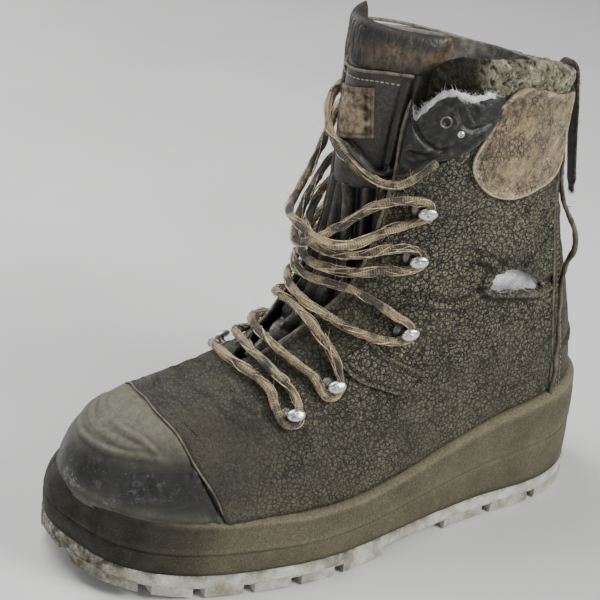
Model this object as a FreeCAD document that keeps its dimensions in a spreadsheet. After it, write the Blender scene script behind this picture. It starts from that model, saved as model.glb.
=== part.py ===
import FreeCAD, Part
import math
import os

# Left boot of an insulated, laced hunting pair. Toe towards -Y, heel +Y, lateral side +X, ground at z = 0.
os.makedirs("parts", exist_ok=True)
V = FreeCAD.Vector
doc = FreeCAD.newDocument("hunting_boot")

sheet = doc.addObject("Spreadsheet::Sheet", "Params")
PARAMS = [
    ("sole_length", 312.0), ("sole_width", 124.0), ("outsole_top", 13.0), ("toe_spring", 11.0), ("lug_depth", 5.0),
    ("lug_gap", 5.0), ("arch_lift", 4.5), ("wall_top", 80.0),
    ("leather_thick", 2.2), ("mid_thick", 2.4), ("lining_thick", 1.9), ("layer_gap", 0.3),
    ("board_thick", 2.4), ("warm_thick", 2.4), ("bed_thick", 4.6),
    ("shank_length", 112.0), ("shank_width", 24.0), ("shank_thick", 2.0), ("shank_level", 21.0), ("shank_start", -22.0),
    ("hook_base_radius", 5.0), ("hook_base_thick", 0.8), ("hook_neck_radius", 1.6), ("hook_neck_height", 6.2),
    ("hook_cap_radius", 4.4), ("hook_cap_height", 2.6),
    ("lace_diameter", 4.2), ("strap_width", 6.5), ("strap_thick", 2.2), ("strap_length", 78.0),
    ("loop_width", 16.0), ("loop_thick", 1.6), ("loop_height", 12.0),
]
for i, (name, value) in enumerate(PARAMS, 1):
    sheet.set("A%d" % i, name)
    sheet.set("B%d" % i, str(value))
    sheet.setAlias("B%d" % i, name)
doc.recompute()


def P(name):
    return float(sheet.get(name))



# Outer surface of the upper: slices through the foot and shaft, each in a plane
# that runs from a point on the front profile to a point on the back profile.
# front y, front z, back y, back z, toe offset, lateral half widths, medial half widths
SLICES = [
    (-149.0, 30.0, 150.0, 38.0, -12.0, (27.5, 50.0, 48.5, 38.0, 30.0), (46.0, 52.0, 41.5, 35.5, 30.0)),
    (-147.0, 52.0, 150.0, 58.0, -12.0, (26.5, 49.2, 48.3, 38.0, 29.8), (44.5, 50.6, 41.2, 35.4, 29.8)),
    (-138.5, 71.0, 148.5, 77.0, -11.0, (23.0, 45.0, 46.5, 38.0, 29.0), (40.0, 45.0, 39.0, 35.2, 29.0)),
    (-122.0, 83.0, 145.5, 95.0, -9.0, (19.5, 37.5, 43.8, 36.8, 27.0), (30.0, 37.5, 37.0, 33.8, 27.0)),
    (-100.0, 90.0, 141.5, 112.0, -6.5, (17.5, 33.5, 41.2, 35.5, 25.2), (23.5, 33.5, 35.5, 32.8, 25.2)),
    (-75.0, 98.0, 137.0, 127.0, -4.0, (17.0, 33.0, 39.4, 34.7, 23.8), (19.5, 32.5, 35.2, 32.4, 23.8)),
    (-52.0, 111.0, 132.5, 140.0, -2.0, (17.0, 33.0, 38.8, 34.5, 22.8), (18.0, 32.0, 35.5, 32.6, 22.8)),
    (-36.0, 128.0, 128.5, 153.0, -1.0, (17.0, 32.8, 38.6, 34.5, 22.0), (17.5, 31.6, 36.0, 33.0, 22.0)),
    (-26.0, 147.0, 124.5, 166.0, 0.0, (17.0, 32.4, 38.7, 34.7, 21.5), (17.2, 31.4, 36.8, 33.6, 21.5)),
    (-19.5, 168.0, 121.0, 181.0, 0.0, (17.2, 32.6, 39.2, 35.2, 21.5), (17.2, 32.0, 38.0, 34.6, 21.5)),
    (-16.0, 190.0, 118.5, 198.0, 0.0, (17.6, 33.4, 40.2, 36.2, 22.0), (17.6, 33.0, 39.5, 36.0, 22.0)),
    (-14.0, 214.0, 117.0, 217.0, 0.0, (18.2, 34.6, 41.8, 37.6, 23.0), (18.2, 34.2, 41.3, 37.5, 23.0)),
    (-13.0, 240.0, 116.5, 238.0, 0.0, (19.0, 36.0, 43.5, 39.0, 24.0), (19.0, 35.6, 43.0, 39.0, 24.0)),
    (-12.5, 268.0, 116.5, 260.0, 0.0, (19.8, 37.2, 45.0, 40.0, 24.6), (19.8, 37.0, 44.6, 40.0, 24.6)),
]
PHIS = [math.radians(a) for a in (0, 30, 60, 90, 120, 150, 180)]


def solve3(lo, di, up, rhs):
    n = len(di)
    d, r = di[:], [list(q) for q in rhs]
    for i in range(1, n):
        m = lo[i] / d[i - 1]
        d[i] -= m * up[i - 1]
        r[i] = [a - m * b for a, b in zip(r[i], r[i - 1])]
    x = [None] * n
    x[-1] = [a / d[-1] for a in r[-1]]
    for i in range(n - 2, -1, -1):
        x[i] = [(a - up[i] * b) / d[i] for a, b in zip(r[i], x[i + 1])]
    return x


def second_derivs(xs, ys, clamped):
    """Second derivatives of a cubic spline through rows ys at xs."""
    n = len(xs)
    k = len(ys[0])
    lo, di, up, rhs = [0.0] * n, [1.0] * n, [0.0] * n, [[0.0] * k for _ in range(n)]
    for i in range(1, n - 1):
        a, b = xs[i] - xs[i - 1], xs[i + 1] - xs[i]
        lo[i], di[i], up[i] = a / 6, (a + b) / 3, b / 6
        rhs[i] = [(y2 - y1) / b - (y1 - y0) / a for y0, y1, y2 in zip(ys[i - 1], ys[i], ys[i + 1])]
    if clamped:
        a = xs[1] - xs[0]
        di[0], up[0] = a / 3, a / 6
        rhs[0] = [(y1 - y0) / a for y0, y1 in zip(ys[0], ys[1])]
        b = xs[-1] - xs[-2]
        lo[-1], di[-1] = b / 6, b / 3
        rhs[-1] = [-(y1 - y0) / b for y0, y1 in zip(ys[-2], ys[-1])]
    return solve3(lo, di, up, rhs)


def spline_at(xs, ys, m2, x):
    n = len(xs)
    i = 0
    while i < n - 2 and x > xs[i + 1]:
        i += 1
    h = xs[i + 1] - xs[i]
    b = (x - xs[i]) / h
    a = 1 - b
    ca, cb = (a ** 3 - a) * h * h / 6, (b ** 3 - b) * h * h / 6
    return [a * p + b * q + ca * u + cb * v for p, q, u, v in zip(ys[i], ys[i + 1], m2[i], m2[i + 1])]


def row(sl):
    fy, fz, by, bz, c0, xl, xm = sl
    out = [fy, fz, by, bz, c0]
    gl, gm = [], []
    for i, phi in enumerate(PHIS[1:-1]):
        t = (1 - math.cos(phi)) / 2
        c = c0 * (1 - t) ** 2
        gl.append((xl[i] - c) / math.sin(phi))
        gm.append((xm[i] + c) / math.sin(phi))
    g0 = (gl[0] + gm[0]) / 2 * 0.97
    g1 = (gl[-1] + gm[-1]) / 2 * 1.03
    return out + [g0] + gl + [g1] + [g0] + gm + [g1]


SK = [float(i) for i in range(len(SLICES))]
SV = [row(sl) for sl in SLICES]
S2 = second_derivs(SK, SV, False)
EYE = [[1.0 if i == j else 0.0 for j in range(7)] for i in range(7)]
EYE2 = second_derivs(PHIS, EYE, True)


def surf(psi, s):
    """Point of the outer leather surface. psi is signed from the front ridge, in radians, lateral side positive; s runs up the slices."""
    v = spline_at(SK, SV, S2, s)
    if psi > math.pi:
        psi -= 2 * math.pi
    elif psi < -math.pi:
        psi += 2 * math.pi
    phi = abs(psi)
    t = (1 - math.cos(phi)) / 2
    b = spline_at(PHIS, EYE, EYE2, phi)
    g = v[5:12] if psi >= 0 else v[12:19]
    w = sum(p * q for p, q in zip(b, g)) * math.sin(phi)
    x = v[4] * (1 - t) ** 2 + (w if psi >= 0 else -w)
    return (x, v[0] + (v[2] - v[0]) * t, v[1] + (v[3] - v[1]) * t)


def normal(psi, s):
    e = 1e-3
    a, b = surf(psi - e, s), surf(psi + e, s)
    c, d = surf(psi, s - e), surf(psi, s + e)
    u = [q - p for p, q in zip(a, b)]
    v = [q - p for p, q in zip(c, d)]
    n = (u[1] * v[2] - u[2] * v[1], u[2] * v[0] - u[0] * v[2], u[0] * v[1] - u[1] * v[0])
    k = math.sqrt(sum(q * q for q in n)) or 1.0
    return tuple(q / k for q in n)


def off(psi, s, d):
    p, n = surf(psi, s), normal(psi, s)
    return tuple(a + d * b for a, b in zip(p, n))


def locate(y, z):
    """(phi, s) of the surface point seen at y, z from the side."""
    def side(s):
        v = spline_at(SK, SV, S2, s)
        dy, dz = v[2] - v[0], v[3] - v[1]
        return ((z - v[1]) * dy - (y - v[0]) * dz), v
    lo, hi = 0.0, SK[-1]
    for _ in range(40):
        mid = (lo + hi) / 2
        if side(mid)[0] > 0:
            lo = mid
        else:
            hi = mid
    v = side(lo)[1]
    dy, dz = v[2] - v[0], v[3] - v[1]
    t = ((y - v[0]) * dy + (z - v[1]) * dz) / (dy * dy + dz * dz)
    t = min(1.0, max(0.0, t))
    return math.acos(1 - 2 * t), lo


# ---------------------------------------------------------------- helpers
D2R = math.pi / 180.0


def curve(pts):
    """Smooth open curve through (angle, level) pairs, by a parameter from 0 to 1."""
    ts = [0.0]
    for p, q in zip(pts, pts[1:]):
        ts.append(ts[-1] + math.hypot((q[0] - p[0]) * 0.8, (q[1] - p[1]) * 20.0))
    ts = [v / ts[-1] for v in ts]
    rows = [list(p) for p in pts]
    m2 = second_derivs(ts, rows, False) if len(pts) > 2 else [[0.0, 0.0]] * 2
    return lambda v: spline_at(ts, rows, m2, v)


def ruled(c0, c1, k0=(0.0, 1.0), k1=(0.0, 1.0)):
    """Region of the surface between two curves; a runs along them, b across."""
    def f(a, b):
        p = c0(k0[0] + (k0[1] - k0[0]) * a)
        q = c1(k1[0] + (k1[1] - k1[0]) * a)
        return (p[0] + (q[0] - p[0]) * b, p[1] + (q[1] - p[1]) * b)
    return f


def coons(left, right, low, high):
    """Region inside four boundary curves; a runs up left and right, b runs across low and high."""
    def f(a, b):
        l, r, o, t = left(a), right(a), low(b), high(b)
        p00, p01, p10, p11 = left(0.0), right(0.0), left(1.0), right(1.0)
        return tuple((1 - b) * l[k] + b * r[k] + (1 - a) * o[k] + a * t[k]
                     - ((1 - a) * (1 - b) * p00[k] + (1 - a) * b * p01[k] + a * (1 - b) * p10[k] + a * b * p11[k]) for k in (0, 1))
    return f


def patch(region, outer, inner, nu, nv):
    """Closed solid between two offsets of a region of the boot surface."""
    def depth(d, a, b, ps, s):
        return d(a, b, ps, s) if callable(d) else d
    faces = []
    surfs = []
    for d in (outer, inner):
        grid = []
        for i in range(nu):
            line = []
            for j in range(nv):
                a, b = i / (nu - 1.0), j / (nv - 1.0)
                ps, s = region(a, b)
                line.append(V(*off(ps * D2R, s, depth(d, a, b, ps, s))))
            grid.append(line)
        bs = Part.BSplineSurface()
        bs.interpolate(grid)
        surfs.append(bs)
        faces.append(bs.toShape())
    u0, u1, v0, v1 = surfs[0].bounds()
    w0, w1, x0, x1 = surfs[1].bounds()
    for k, (p, q) in enumerate(((u0, w0), (u1, w1))):
        faces.append(Part.makeRuledSurface(surfs[0].uIso(p).toShape(), surfs[1].uIso(q).toShape()))
    for p, q in ((v0, x0), (v1, x1)):
        faces.append(Part.makeRuledSurface(surfs[0].vIso(p).toShape(), surfs[1].vIso(q).toShape()))
    comp = Part.makeCompound(faces)
    comp.sewShape()
    shell = comp.Shells[0] if comp.Shells else Part.makeShell(faces)
    solid = Part.makeSolid(shell)
    if solid.Volume < 0:
        solid.reverse()
    return solid


subparts = []


def feature(label, shape):
    """Sub-part whose freeform shape comes from Part's own functions."""
    o = doc.addObject("Part::Feature", label)
    o.Shape = shape
    o.Label = label
    o.Placement = FreeCAD.Placement()
    subparts.append((label, o))
    return o


def mirrored(region):
    return lambda a, b: (lambda r: (-r[0], r[1]))(region(a, b))


def plane(body, role):
    for f in body.Origin.OriginFeatures:
        if f.Role == role:
            return f


def new_body(label):
    b = doc.addObject("PartDesign::Body", label)
    b.Label = label
    return b


def new_sketch(body, name, role, offset=None):
    sk = body.newObject("Sketcher::SketchObject", name)
    sk.AttachmentSupport = [(plane(body, role), "")]
    sk.MapMode = "FlatFace"
    if offset is not None:
        sk.AttachmentOffset = offset
    return sk


def spline_loop(sk, pts):
    c = Part.BSplineCurve()
    c.interpolate([V(x, y, 0) for x, y in pts], True)
    return sk.addGeometry(c)


def polyline(sk, pts):
    ids = []
    for p, q in zip(pts, pts[1:] + pts[:1]):
        ids.append(sk.addGeometry(Part.LineSegment(V(p[0], p[1], 0), V(q[0], q[1], 0))))
    for i in range(len(ids)):
        import Sketcher
        sk.addConstraint(Sketcher.Constraint("Coincident", ids[i], 2, ids[(i + 1) % len(ids)], 1))
    return ids


import Sketcher


def bound_rect(sk, x0, y0, w, hgt, names):
    """Rectangle whose corner and size are bound to the sheet where a name is given."""
    ids = polyline(sk, [(x0, y0), (x0 + w, y0), (x0 + w, y0 + hgt), (x0, y0 + hgt)])
    sk.addConstraint(Sketcher.Constraint("Horizontal", ids[0]))
    sk.addConstraint(Sketcher.Constraint("Horizontal", ids[2]))
    sk.addConstraint(Sketcher.Constraint("Vertical", ids[1]))
    sk.addConstraint(Sketcher.Constraint("Vertical", ids[3]))
    cons = [("DistanceX", -1, 1, ids[0], 1, x0), ("DistanceY", -1, 1, ids[0], 1, y0),
            ("DistanceX", ids[0], 1, ids[0], 2, w), ("DistanceY", ids[1], 1, ids[1], 2, hgt)]
    for c, n in zip(cons, names):
        k = sk.addConstraint(Sketcher.Constraint(*c))
        if n:
            sk.setExpression("Constraints[%d]" % k, n)
    return ids


def pad(body, sk, length, expr, mid=False, rev=False):
    p = body.newObject("PartDesign::Pad", sk.Name + "_pad")
    p.Profile = sk
    p.Length = length
    if expr:
        p.setExpression("Length", expr)
    p.Midplane = mid
    p.Reversed = rev
    doc.recompute()
    return p


def pocket_both(body, sk, length):
    """Pocket through the body on both sides of its sketch plane; the volume must drop."""
    before = body.Shape.Volume
    p = body.newObject("PartDesign::Pocket", sk.Name + "_cut")
    p.Profile = sk
    p.Type = 0
    p.Length = length
    p.Midplane = True
    doc.recompute()
    after = body.Shape.Volume
    assert after < before - 1.0, (sk.Name, before, after)
    return p


# ---------------------------------------------------------------- soles
T = [0, .02, .05, .10, .20, .30, .36, .45, .55, .65, .75, .85, .92, .97, 1.0]
XL = [-14, 8, 24, 36, 48, 55, 57.5, 56.5, 51.5, 46.5, 43.5, 42.5, 36, 24, 0.0]
XM = [-14, -36, -47, -53, -56, -56.5, -55.5, -50.5, -46, -43, -42, -42, -36, -24, 0.0]
HALF = P("sole_length") / 2


def outline(grow=0.0):
    """Plan outline of the sole, lateral side first, as a closed ring of points."""
    ring = [(x, -HALF + t * 2 * HALF) for t, x in zip(T, XL)]
    ring += [(x, -HALF + t * 2 * HALF) for t, x in reversed(list(zip(T, XM))[1:-1])]
    out = []
    n = len(ring)
    for i in range(n):
        a, b = ring[i - 1], ring[(i + 1) % n]
        nx, ny = b[1] - a[1], -(b[0] - a[0])
        k = math.hypot(nx, ny)
        out.append((ring[i][0] + grow * nx / k, ring[i][1] + grow * ny / k))
    return out


def spring(y):
    return ((-85.0 - y) / 71.0) ** 2 * P("toe_spring") if y < -85 else 0.0


def plan_cut(body, name, grow):
    """Trim a block to the plan outline of the sole."""
    sk = new_sketch(body, name, "XY_Plane")
    spline_loop(sk, outline(grow))
    bound_rect(sk, -90, -200, 180, 400, (None, None, None, None))
    doc.recompute()
    return pocket_both(body, sk, 400)


def side_block(label, name, low, high):
    """Block whose side profile follows the ground line and the top line of a sole layer."""
    body = new_body(label)
    sk = new_sketch(body, name, "YZ_Plane")
    lo = [(y, low(y)) for y in (-162, -150, -136, -122, -108, -95, -88, -85)]
    hi = [(y, high(y)) for y in (162, 130, 100, 70, 40, 10, -25, -55, -72, -80, -85, -88, -95, -108, -122, -136, -150, -162)]
    ids = []
    for pts in (lo, hi):
        c = Part.BSplineCurve()
        c.interpolate([V(y, z, 0) for y, z in pts])
        ids.append(sk.addGeometry(c))
    flat = (V(lo[-1][0], lo[-1][1], 0), V(162, lo[-1][1], 0))
    ids.append(sk.addGeometry(Part.LineSegment(*flat)))
    ids.append(sk.addGeometry(Part.LineSegment(flat[1], V(hi[0][0], hi[0][1], 0))))
    ids.append(sk.addGeometry(Part.LineSegment(V(hi[-1][0], hi[-1][1], 0), V(lo[0][0], lo[0][1], 0))))
    for p, q in ((0, 2), (2, 3), (3, 1), (1, 4), (4, 0)):
        sk.addConstraint(Sketcher.Constraint("Coincident", ids[p], 2, ids[q], 1))
    sk.addConstraint(Sketcher.Constraint("Horizontal", ids[2]))
    doc.recompute()
    pad(body, sk, P("sole_width") + 20, "Params.sole_width + 20", mid=True)
    return body


outsole = side_block("outsole", "tread_profile", lambda y: spring(y), lambda y: P("outsole_top") + spring(y) * 1.05)
plan_cut(outsole, "tread_plan", 0.0)
# arch relief between the forefoot tread and the heel block
sk = new_sketch(outsole, "arch_relief", "YZ_Plane")
bound_rect(sk, 4.0, -20.0, 44.0, 20.0 + P("arch_lift"), (None, None, None, None))
doc.recompute()
pocket_both(outsole, sk, 200)
# cleat gaps right across the tread, in the forefoot and in the heel
sk = new_sketch(outsole, "cleat_gaps", "YZ_Plane")
GAPS = [-128.0, -103.0, -78.0, -53.0, -28.0, 76.0, 108.0]
for y in GAPS:
    bound_rect(sk, y, -20.0, P("lug_gap"), 20.0 + P("lug_depth") + spring(y), (None, None, "Params.lug_gap", None))
doc.recompute()
pocket_both(outsole, sk, 200)
# long channel down the middle of the tread
sk = new_sketch(outsole, "centre_channel", "XZ_Plane")
bound_rect(sk, -7.0, -20.0, 6.0, 20.0 + P("lug_depth") - 1.0, (None, None, None, None))
doc.recompute()
ch = outsole.newObject("PartDesign::Pocket", "channel_cut")
ch.Profile = sk
v0 = outsole.Shape.Volume
ch.Type = 0
ch.Length = 190
ch.Midplane = True
doc.recompute()
assert outsole.Shape.Volume < v0 - 1
subparts.append(("outsole", outsole))

TOP = [(-165, 53), (-150, 50), (-118, 44.5), (-86, 43), (-23, 41), (30, 47.5), (60, 54.5), (92, 61.5), (125, 66), (165, 68.5)]
TOP2 = second_derivs([float(p[0]) for p in TOP], [[float(p[1])] for p in TOP], False)


def wall_top(y):
    return spline_at([float(p[0]) for p in TOP], [[float(p[1])] for p in TOP], TOP2, max(-165.0, min(165.0, y)))[0]


mid_block = side_block("midsole_block", "wall_profile", lambda y: P("outsole_top") + P("layer_gap") / 2 + spring(y) * 1.05, wall_top)
plan_cut(mid_block, "wall_plan", -0.4)

shank_body = new_body("shank")
sk = new_sketch(shank_body, "shank_plan", "XY_Plane")
bound_rect(sk, -12.0 - 4, P("shank_start"), P("shank_width"), P("shank_length"), (None, None, "Params.shank_width", "Params.shank_length"))
doc.recompute()
pad(shank_body, sk, P("shank_thick"), "Params.shank_thick")
shank_body.Placement = FreeCAD.Placement(V(0, 0, P("shank_level")), FreeCAD.Rotation())
subparts.append(("shank", shank_body))
shank_room = doc.addObject("Part::Box", "shank_room")
shank_room.setExpression("Length", "Params.shank_width + 0.2")
shank_room.setExpression("Width", "Params.shank_length + 0.2")
shank_room.setExpression("Height", "Params.shank_thick + 0.2")
shank_room.Placement = FreeCAD.Placement(V(-16.1, P("shank_start") - 0.1, P("shank_level") - 0.1), FreeCAD.Rotation())
doc.recompute()


def ring_wire(s, d, n=28):
    """Planar ring round the foot at one level, grown by d in its own plane."""
    v = spline_at(SK, SV, S2, s)
    k = math.hypot(v[2] - v[0], v[3] - v[1])
    cy, cz = (v[2] - v[0]) / k, (v[3] - v[1]) / k
    pts = []
    for i in range(n):
        a = -math.pi + 2 * math.pi * i / n
        p, q0, q1 = surf(a, s), surf(a - 0.01, s), surf(a + 0.01, s)
        tx, tl = q1[0] - q0[0], (q1[1] - q0[1]) * cy + (q1[2] - q0[2]) * cz
        m = math.hypot(tx, tl)
        nx, nl = tl / m * d, -tx / m * d
        pts.append(V(p[0] + nx, p[1] + nl * cy, p[2] + nl * cz))
    c = Part.BSplineCurve()
    c.interpolate(pts, True)
    return Part.Wire([c.toShape()])


# the foot well: everything inside the outer leather surface, with a small gap
well = doc.addObject("Part::Feature", "foot_well")
well.Shape = Part.makeLoft([ring_wire(s, 0.6) for s in (0.0, 0.33, 0.65, 1.0, 1.3, 1.65, 2.0, 2.3, 2.6)], True, True)
midsole = doc.addObject("Part::Cut", "midsole_well")
midsole.Base = mid_block
midsole.Tool = well
midsole.Refine = False
mids = doc.addObject("Part::Cut", "midsole")
mids.Refine = False
mids.Base = midsole
mids.Tool = shank_room
mids.Label = "midsole"
doc.recompute()
subparts.append(("midsole", mids))

# the flat plies under the foot lie in the tilted plane of the lowest slice
TILT = math.degrees(math.atan2(SLICES[0][3] - SLICES[0][1], SLICES[0][2] - SLICES[0][0]))
BASE = V(0, SLICES[0][0], SLICES[0][1])


def ply(label, depth, level, expr):
    body = new_body(label)
    sk = new_sketch(body, label + "_plan", "XY_Plane")
    co, si = math.cos(TILT * D2R), math.sin(TILT * D2R)
    ring = []
    for i in range(40):
        p = off(-math.pi + 2 * math.pi * i / 40, 0.12, depth)
        ring.append((p[0], (p[1] - BASE.y) * co + (p[2] - BASE.z) * si))
    spline_loop(sk, ring)
    doc.recompute()
    pad(body, sk, P(expr), "Params." + expr)
    body.Placement = FreeCAD.Placement(BASE + V(0, -si * level, co * level), FreeCAD.Rotation(V(1, 0, 0), TILT))
    doc.recompute()
    subparts.append((label, body))
    return body


ply("insole_board", -3.9, 0.3, "board_thick")
ply("insole_warm_layer", -8.0, 3.0, "warm_thick")
ply("footbed", -8.2, 5.7, "bed_thick")

# ---------------------------------------------------------------- upper, outer layer
LT = P("leather_thick")
GAP = P("layer_gap")
M0, M1 = -(LT + GAP), -(LT + GAP + P("mid_thick"))
L0, L1 = M1 - GAP, M1 - GAP - P("lining_thick")

SEAM = [(54.9, 0.0), (50.8, 1.0), (42.4, 2.0), (29.0, 3.0), (15.9, 3.45), (0.0, 3.66), (-15.9, 3.45), (-29.0, 3.0), (-42.4, 2.0), (-50.8, 1.0), (-54.9, 0.0)]
FLEX = [(72.0, 0.0), (57.0, 1.6), (40.0, 3.1), (20.0, 4.7), (0.0, 5.38), (-20.0, 4.7), (-40.0, 3.1), (-57.0, 1.6), (-72.0, 0.0)]
seam_front = curve(SEAM)
seam_back = curve([(p + math.copysign(0.45, p) if p else 0.0, s + (0.015 if 0 < s else 0.0)) for p, s in SEAM])
flex_front = curve(FLEX)
feather = lambda lo, hi, s=0.0: (lambda v: (lo + (hi - lo) * v, s))

toe_cap = ruled(feather(54.9, -54.9, 0.06), seam_front, (0, 1), (0.05, 0.95))
feature("toe_cap", patch(toe_cap, 0.0, -LT, 27, 11))
feature("vamp", patch(ruled(seam_back, flex_front), 0.0, -LT, 33, 10))

FRONT = [(72.5, 0.0), (57.6, 1.6), (40.8, 3.1), (21.0, 4.75), (11.0, 5.3), (13.5, 5.9), (26.0, 7.0), (36.6, 8.0)]
EDGE = [(36.6, 8.03), (39.5, 9.0), (41.0, 10.0), (42.5, 10.65)]
BACK = [(141.0, 0.0), (140.5, 2.0), (140.5, 4.0), (140.0, 6.2)]
BACK2 = [(140.0, 6.23), (139.0, 9.0), (138.4, 11.6)]
quarter_top = curve([(36.6, 8.0), (60.0, 7.42), (80.0, 6.92), (105.0, 6.72), (125.0, 6.27), (140.0, 6.2)])
quarter = coons(curve(FRONT), curve(BACK), feather(72.5, 141.0), quarter_top)
feature("quarter_lateral", patch(quarter, 0.0, -LT, 24, 18))
feature("quarter_medial", patch(mirrored(quarter), 0.0, -LT, 24, 18))

ankle = curve([(36.6, 8.03), (60.0, 7.45), (80.0, 6.95), (105.0, 6.75), (125.0, 6.3), (140.0, 6.23)])
feature("shaft_lateral", patch(ruled(ankle, curve([(42.5, 10.6), (55.0, 10.75), (66.0, 11.0), (77.0, 11.7), (88.0, 12.1), (110.0, 12.0), (128.0, 11.85), (138.4, 11.7)])), 0.0, -LT, 16, 10))
feature("shaft_medial", patch(mirrored(ruled(ankle, curve([(37.5, 12.95), (50.0, 12.7), (70.0, 12.35), (90.0, 12.15), (115.0, 12.0), (138.4, 11.8)]))), 0.0, -LT, 16, 10))
feature("collar_flap", patch(ruled(curve([(43.0, 10.65), (55.0, 10.8), (65.0, 11.03), (73.0, 11.5)]), curve([(45.5, 12.0), (53.0, 12.3), (63.0, 12.38), (73.0, 12.3)])), lambda a, b, p, s: 0.2 * b, lambda a, b, p, s: -1.9, 8, 7))
stay = ruled(curve([(141.5, 0.0), (141.0, 2.0), (141.0, 4.0), (140.5, 6.2), (139.5, 9.0), (138.9, 11.95)]), curve([(218.5, 0.0), (219.0, 2.0), (219.0, 4.0), (219.5, 6.2), (220.5, 9.0), (221.1, 11.95)]))
feature("backstay", patch(stay, 0.0, -LT, 18, 10))

# stitched-on pieces over the leather
patch_low = [(78.0, 10.7), (84.0, 10.15), (97.0, 9.85), (112.0, 9.8), (126.0, 9.92), (134.5, 10.3)]
patch_high = [(82.5, 12.0), (86.5, 12.25), (97.0, 12.45), (110.0, 12.35), (124.0, 12.2), (136.5, 12.1)]
collar_patch = ruled(curve(patch_low), curve(patch_high))
feature("collar_patch_lateral", patch(collar_patch, 1.9, 0.3, 12, 8))
feature("collar_patch_medial", patch(mirrored(collar_patch), 1.9, 0.3, 12, 8))
tab = ruled(curve([(52.5, 5.55), (74.0, 4.15), (90.0, 3.05)]), curve([(59.0, 6.25), (78.0, 5.0), (94.5, 3.75)]))
feature("throat_tab_lateral", patch(tab, 1.5, 0.3, 9, 6))
feature("throat_tab_medial", patch(mirrored(tab), 0.8, 0.3, 9, 6))
feature("pull_tab", patch(ruled(curve([(171.0, 10.9), (189.0, 10.9)]), curve([(171.0, 11.9), (189.0, 11.9)])), 1.7, 0.3, 5, 5))
piping = ruled(curve([(143.5, 2.0), (143.0, 4.4), (143.5, 6.0), (143.5, 8.0), (141.5, 9.9)]), curve([(147.5, 2.0), (147.5, 4.4), (148.5, 6.0), (148.5, 8.0), (145.5, 9.9)]))


def peel(a, b, p, s):
    return 0.4 + 8.5 * math.exp(-((s - 7.3) / 1.3) ** 2)


feature("back_piping", patch(piping, lambda a, b, p, s: peel(a, b, p, s) + 1.8, peel, 18, 4))

# ---------------------------------------------------------------- middle layer
toe_in = ruled(feather(52.0, -52.0, 0.18), curve([(48.0, 1.0), (39.0, 2.0), (26.0, 2.75), (0.0, 3.3), (-26.0, 2.75), (-39.0, 2.0), (-48.0, 1.0)]))
feature("safety_toe", patch(toe_in, M0, M1, 23, 9))
feature("insulation_vamp", patch(ruled(curve([(53.2, 0.18), (49.0, 1.1), (40.4, 2.1), (26.8, 2.87), (0.0, 3.42), (-26.8, 2.87), (-40.4, 2.1), (-49.0, 1.1), (-53.2, 0.18)]), curve([(70.0, 0.18), (57.0, 1.5), (40.0, 3.0), (20.0, 4.6), (0.0, 5.25), (-20.0, 4.6), (-40.0, 3.0), (-57.0, 1.5), (-70.0, 0.18)])), M0, M1, 33, 9))
foot_in = ruled(curve([(71.0, 0.18), (58.2, 1.6), (41.8, 3.1), (23.5, 4.75), (15.0, 5.4), (16.5, 5.9)]), curve([(108.0, 0.18), (108.0, 1.6), (108.0, 3.1), (108.0, 4.4), (108.0, 5.2), (108.0, 5.6)]))
feature("insulation_foot_lateral", patch(foot_in, M0 - 0.35, M1, 19, 13))
feature("insulation_foot_medial", patch(mirrored(foot_in), M0 - 0.35, M1, 19, 13))
counter = ruled(curve([(109.0, 0.18), (109.0, 3.0), (110.0, 5.6)]), curve([(251.0, 0.18), (251.0, 3.0), (250.0, 5.6)]))
feature("heel_counter", patch(counter, M0 - 0.05, M1 + 0.25, 14, 28))
shaft_in = ruled(curve([(20.0, 6.06), (50.0, 5.98), (90.0, 5.87), (130.0, 5.76), (179.6, 5.72)]), curve([(43.0, 10.75), (70.0, 10.75), (100.0, 10.75), (140.0, 10.75), (179.6, 10.75)]))
feature("insulation_shaft_lateral", patch(shaft_in, M0, M1, 17, 9))
feature("insulation_shaft_medial", patch(mirrored(shaft_in), M0, M1, 17, 9))
foam = ruled(curve([(48.0, 10.85), (110.0, 10.85), (180.0, 10.85), (250.0, 10.85), (314.0, 10.85)]), curve([(52.0, 12.62), (70.0, 12.76), (95.0, 12.74), (125.0, 12.58), (150.0, 12.3), (180.0, 12.1), (240.0, 12.15), (290.0, 12.45), (312.0, 12.6)]))
feature("collar_foam", patch(foam, M0, M1, 24, 6))

# ---------------------------------------------------------------- lining
feature("lining_vamp", patch(ruled(feather(72.0, -72.0, 0.2), curve([(60.0, 1.5), (42.0, 3.0), (22.0, 4.6), (0.0, 5.2), (-22.0, 4.6), (-42.0, 3.0), (-60.0, 1.5)])), L0, L1, 33, 13))
lin_q = ruled(curve([(73.0, 0.2), (61.2, 1.5), (43.5, 3.05), (25.5, 4.75), (17.5, 5.4), (18.5, 5.9)]), curve([(179.6, 0.2), (179.6, 1.5), (179.6, 3.0), (179.6, 4.4), (179.6, 5.2), (179.6, 5.65)]))
feature("lining_foot_lateral", patch(lin_q, L0, L1, 19, 28))
feature("lining_foot_medial", patch(mirrored(lin_q), L0, L1, 19, 28))
lin_s = ruled(curve([(36.0, 6.03), (70.0, 5.91), (110.0, 5.83), (180.0, 5.73), (250.0, 5.83), (290.0, 5.91), (324.0, 6.03)]), curve([(50.0, 12.4), (57.0, 12.6), (70.0, 12.84), (95.0, 12.82), (125.0, 12.66), (150.0, 12.4), (180.0, 12.2), (240.0, 12.3), (288.0, 12.58), (303.0, 12.52), (310.0, 12.4)]))
feature("lining_shaft", patch(lin_s, L0, L1, 38, 14))

# ---------------------------------------------------------------- tongue
EK = [5.5, 6.0, 7.0, 8.0, 9.0, 10.0, 11.0, 12.0, 13.0, 14.0]
EV = [[11.0], [15.0], [26.0], [36.6], [39.5], [41.0], [43.0], [46.0], [48.0], [49.0]]
EM = second_derivs(EK, EV, False)


def edge_at(s):
    return spline_at(EK, EV, EM, max(5.5, min(14.0, s)))[0]


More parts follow.
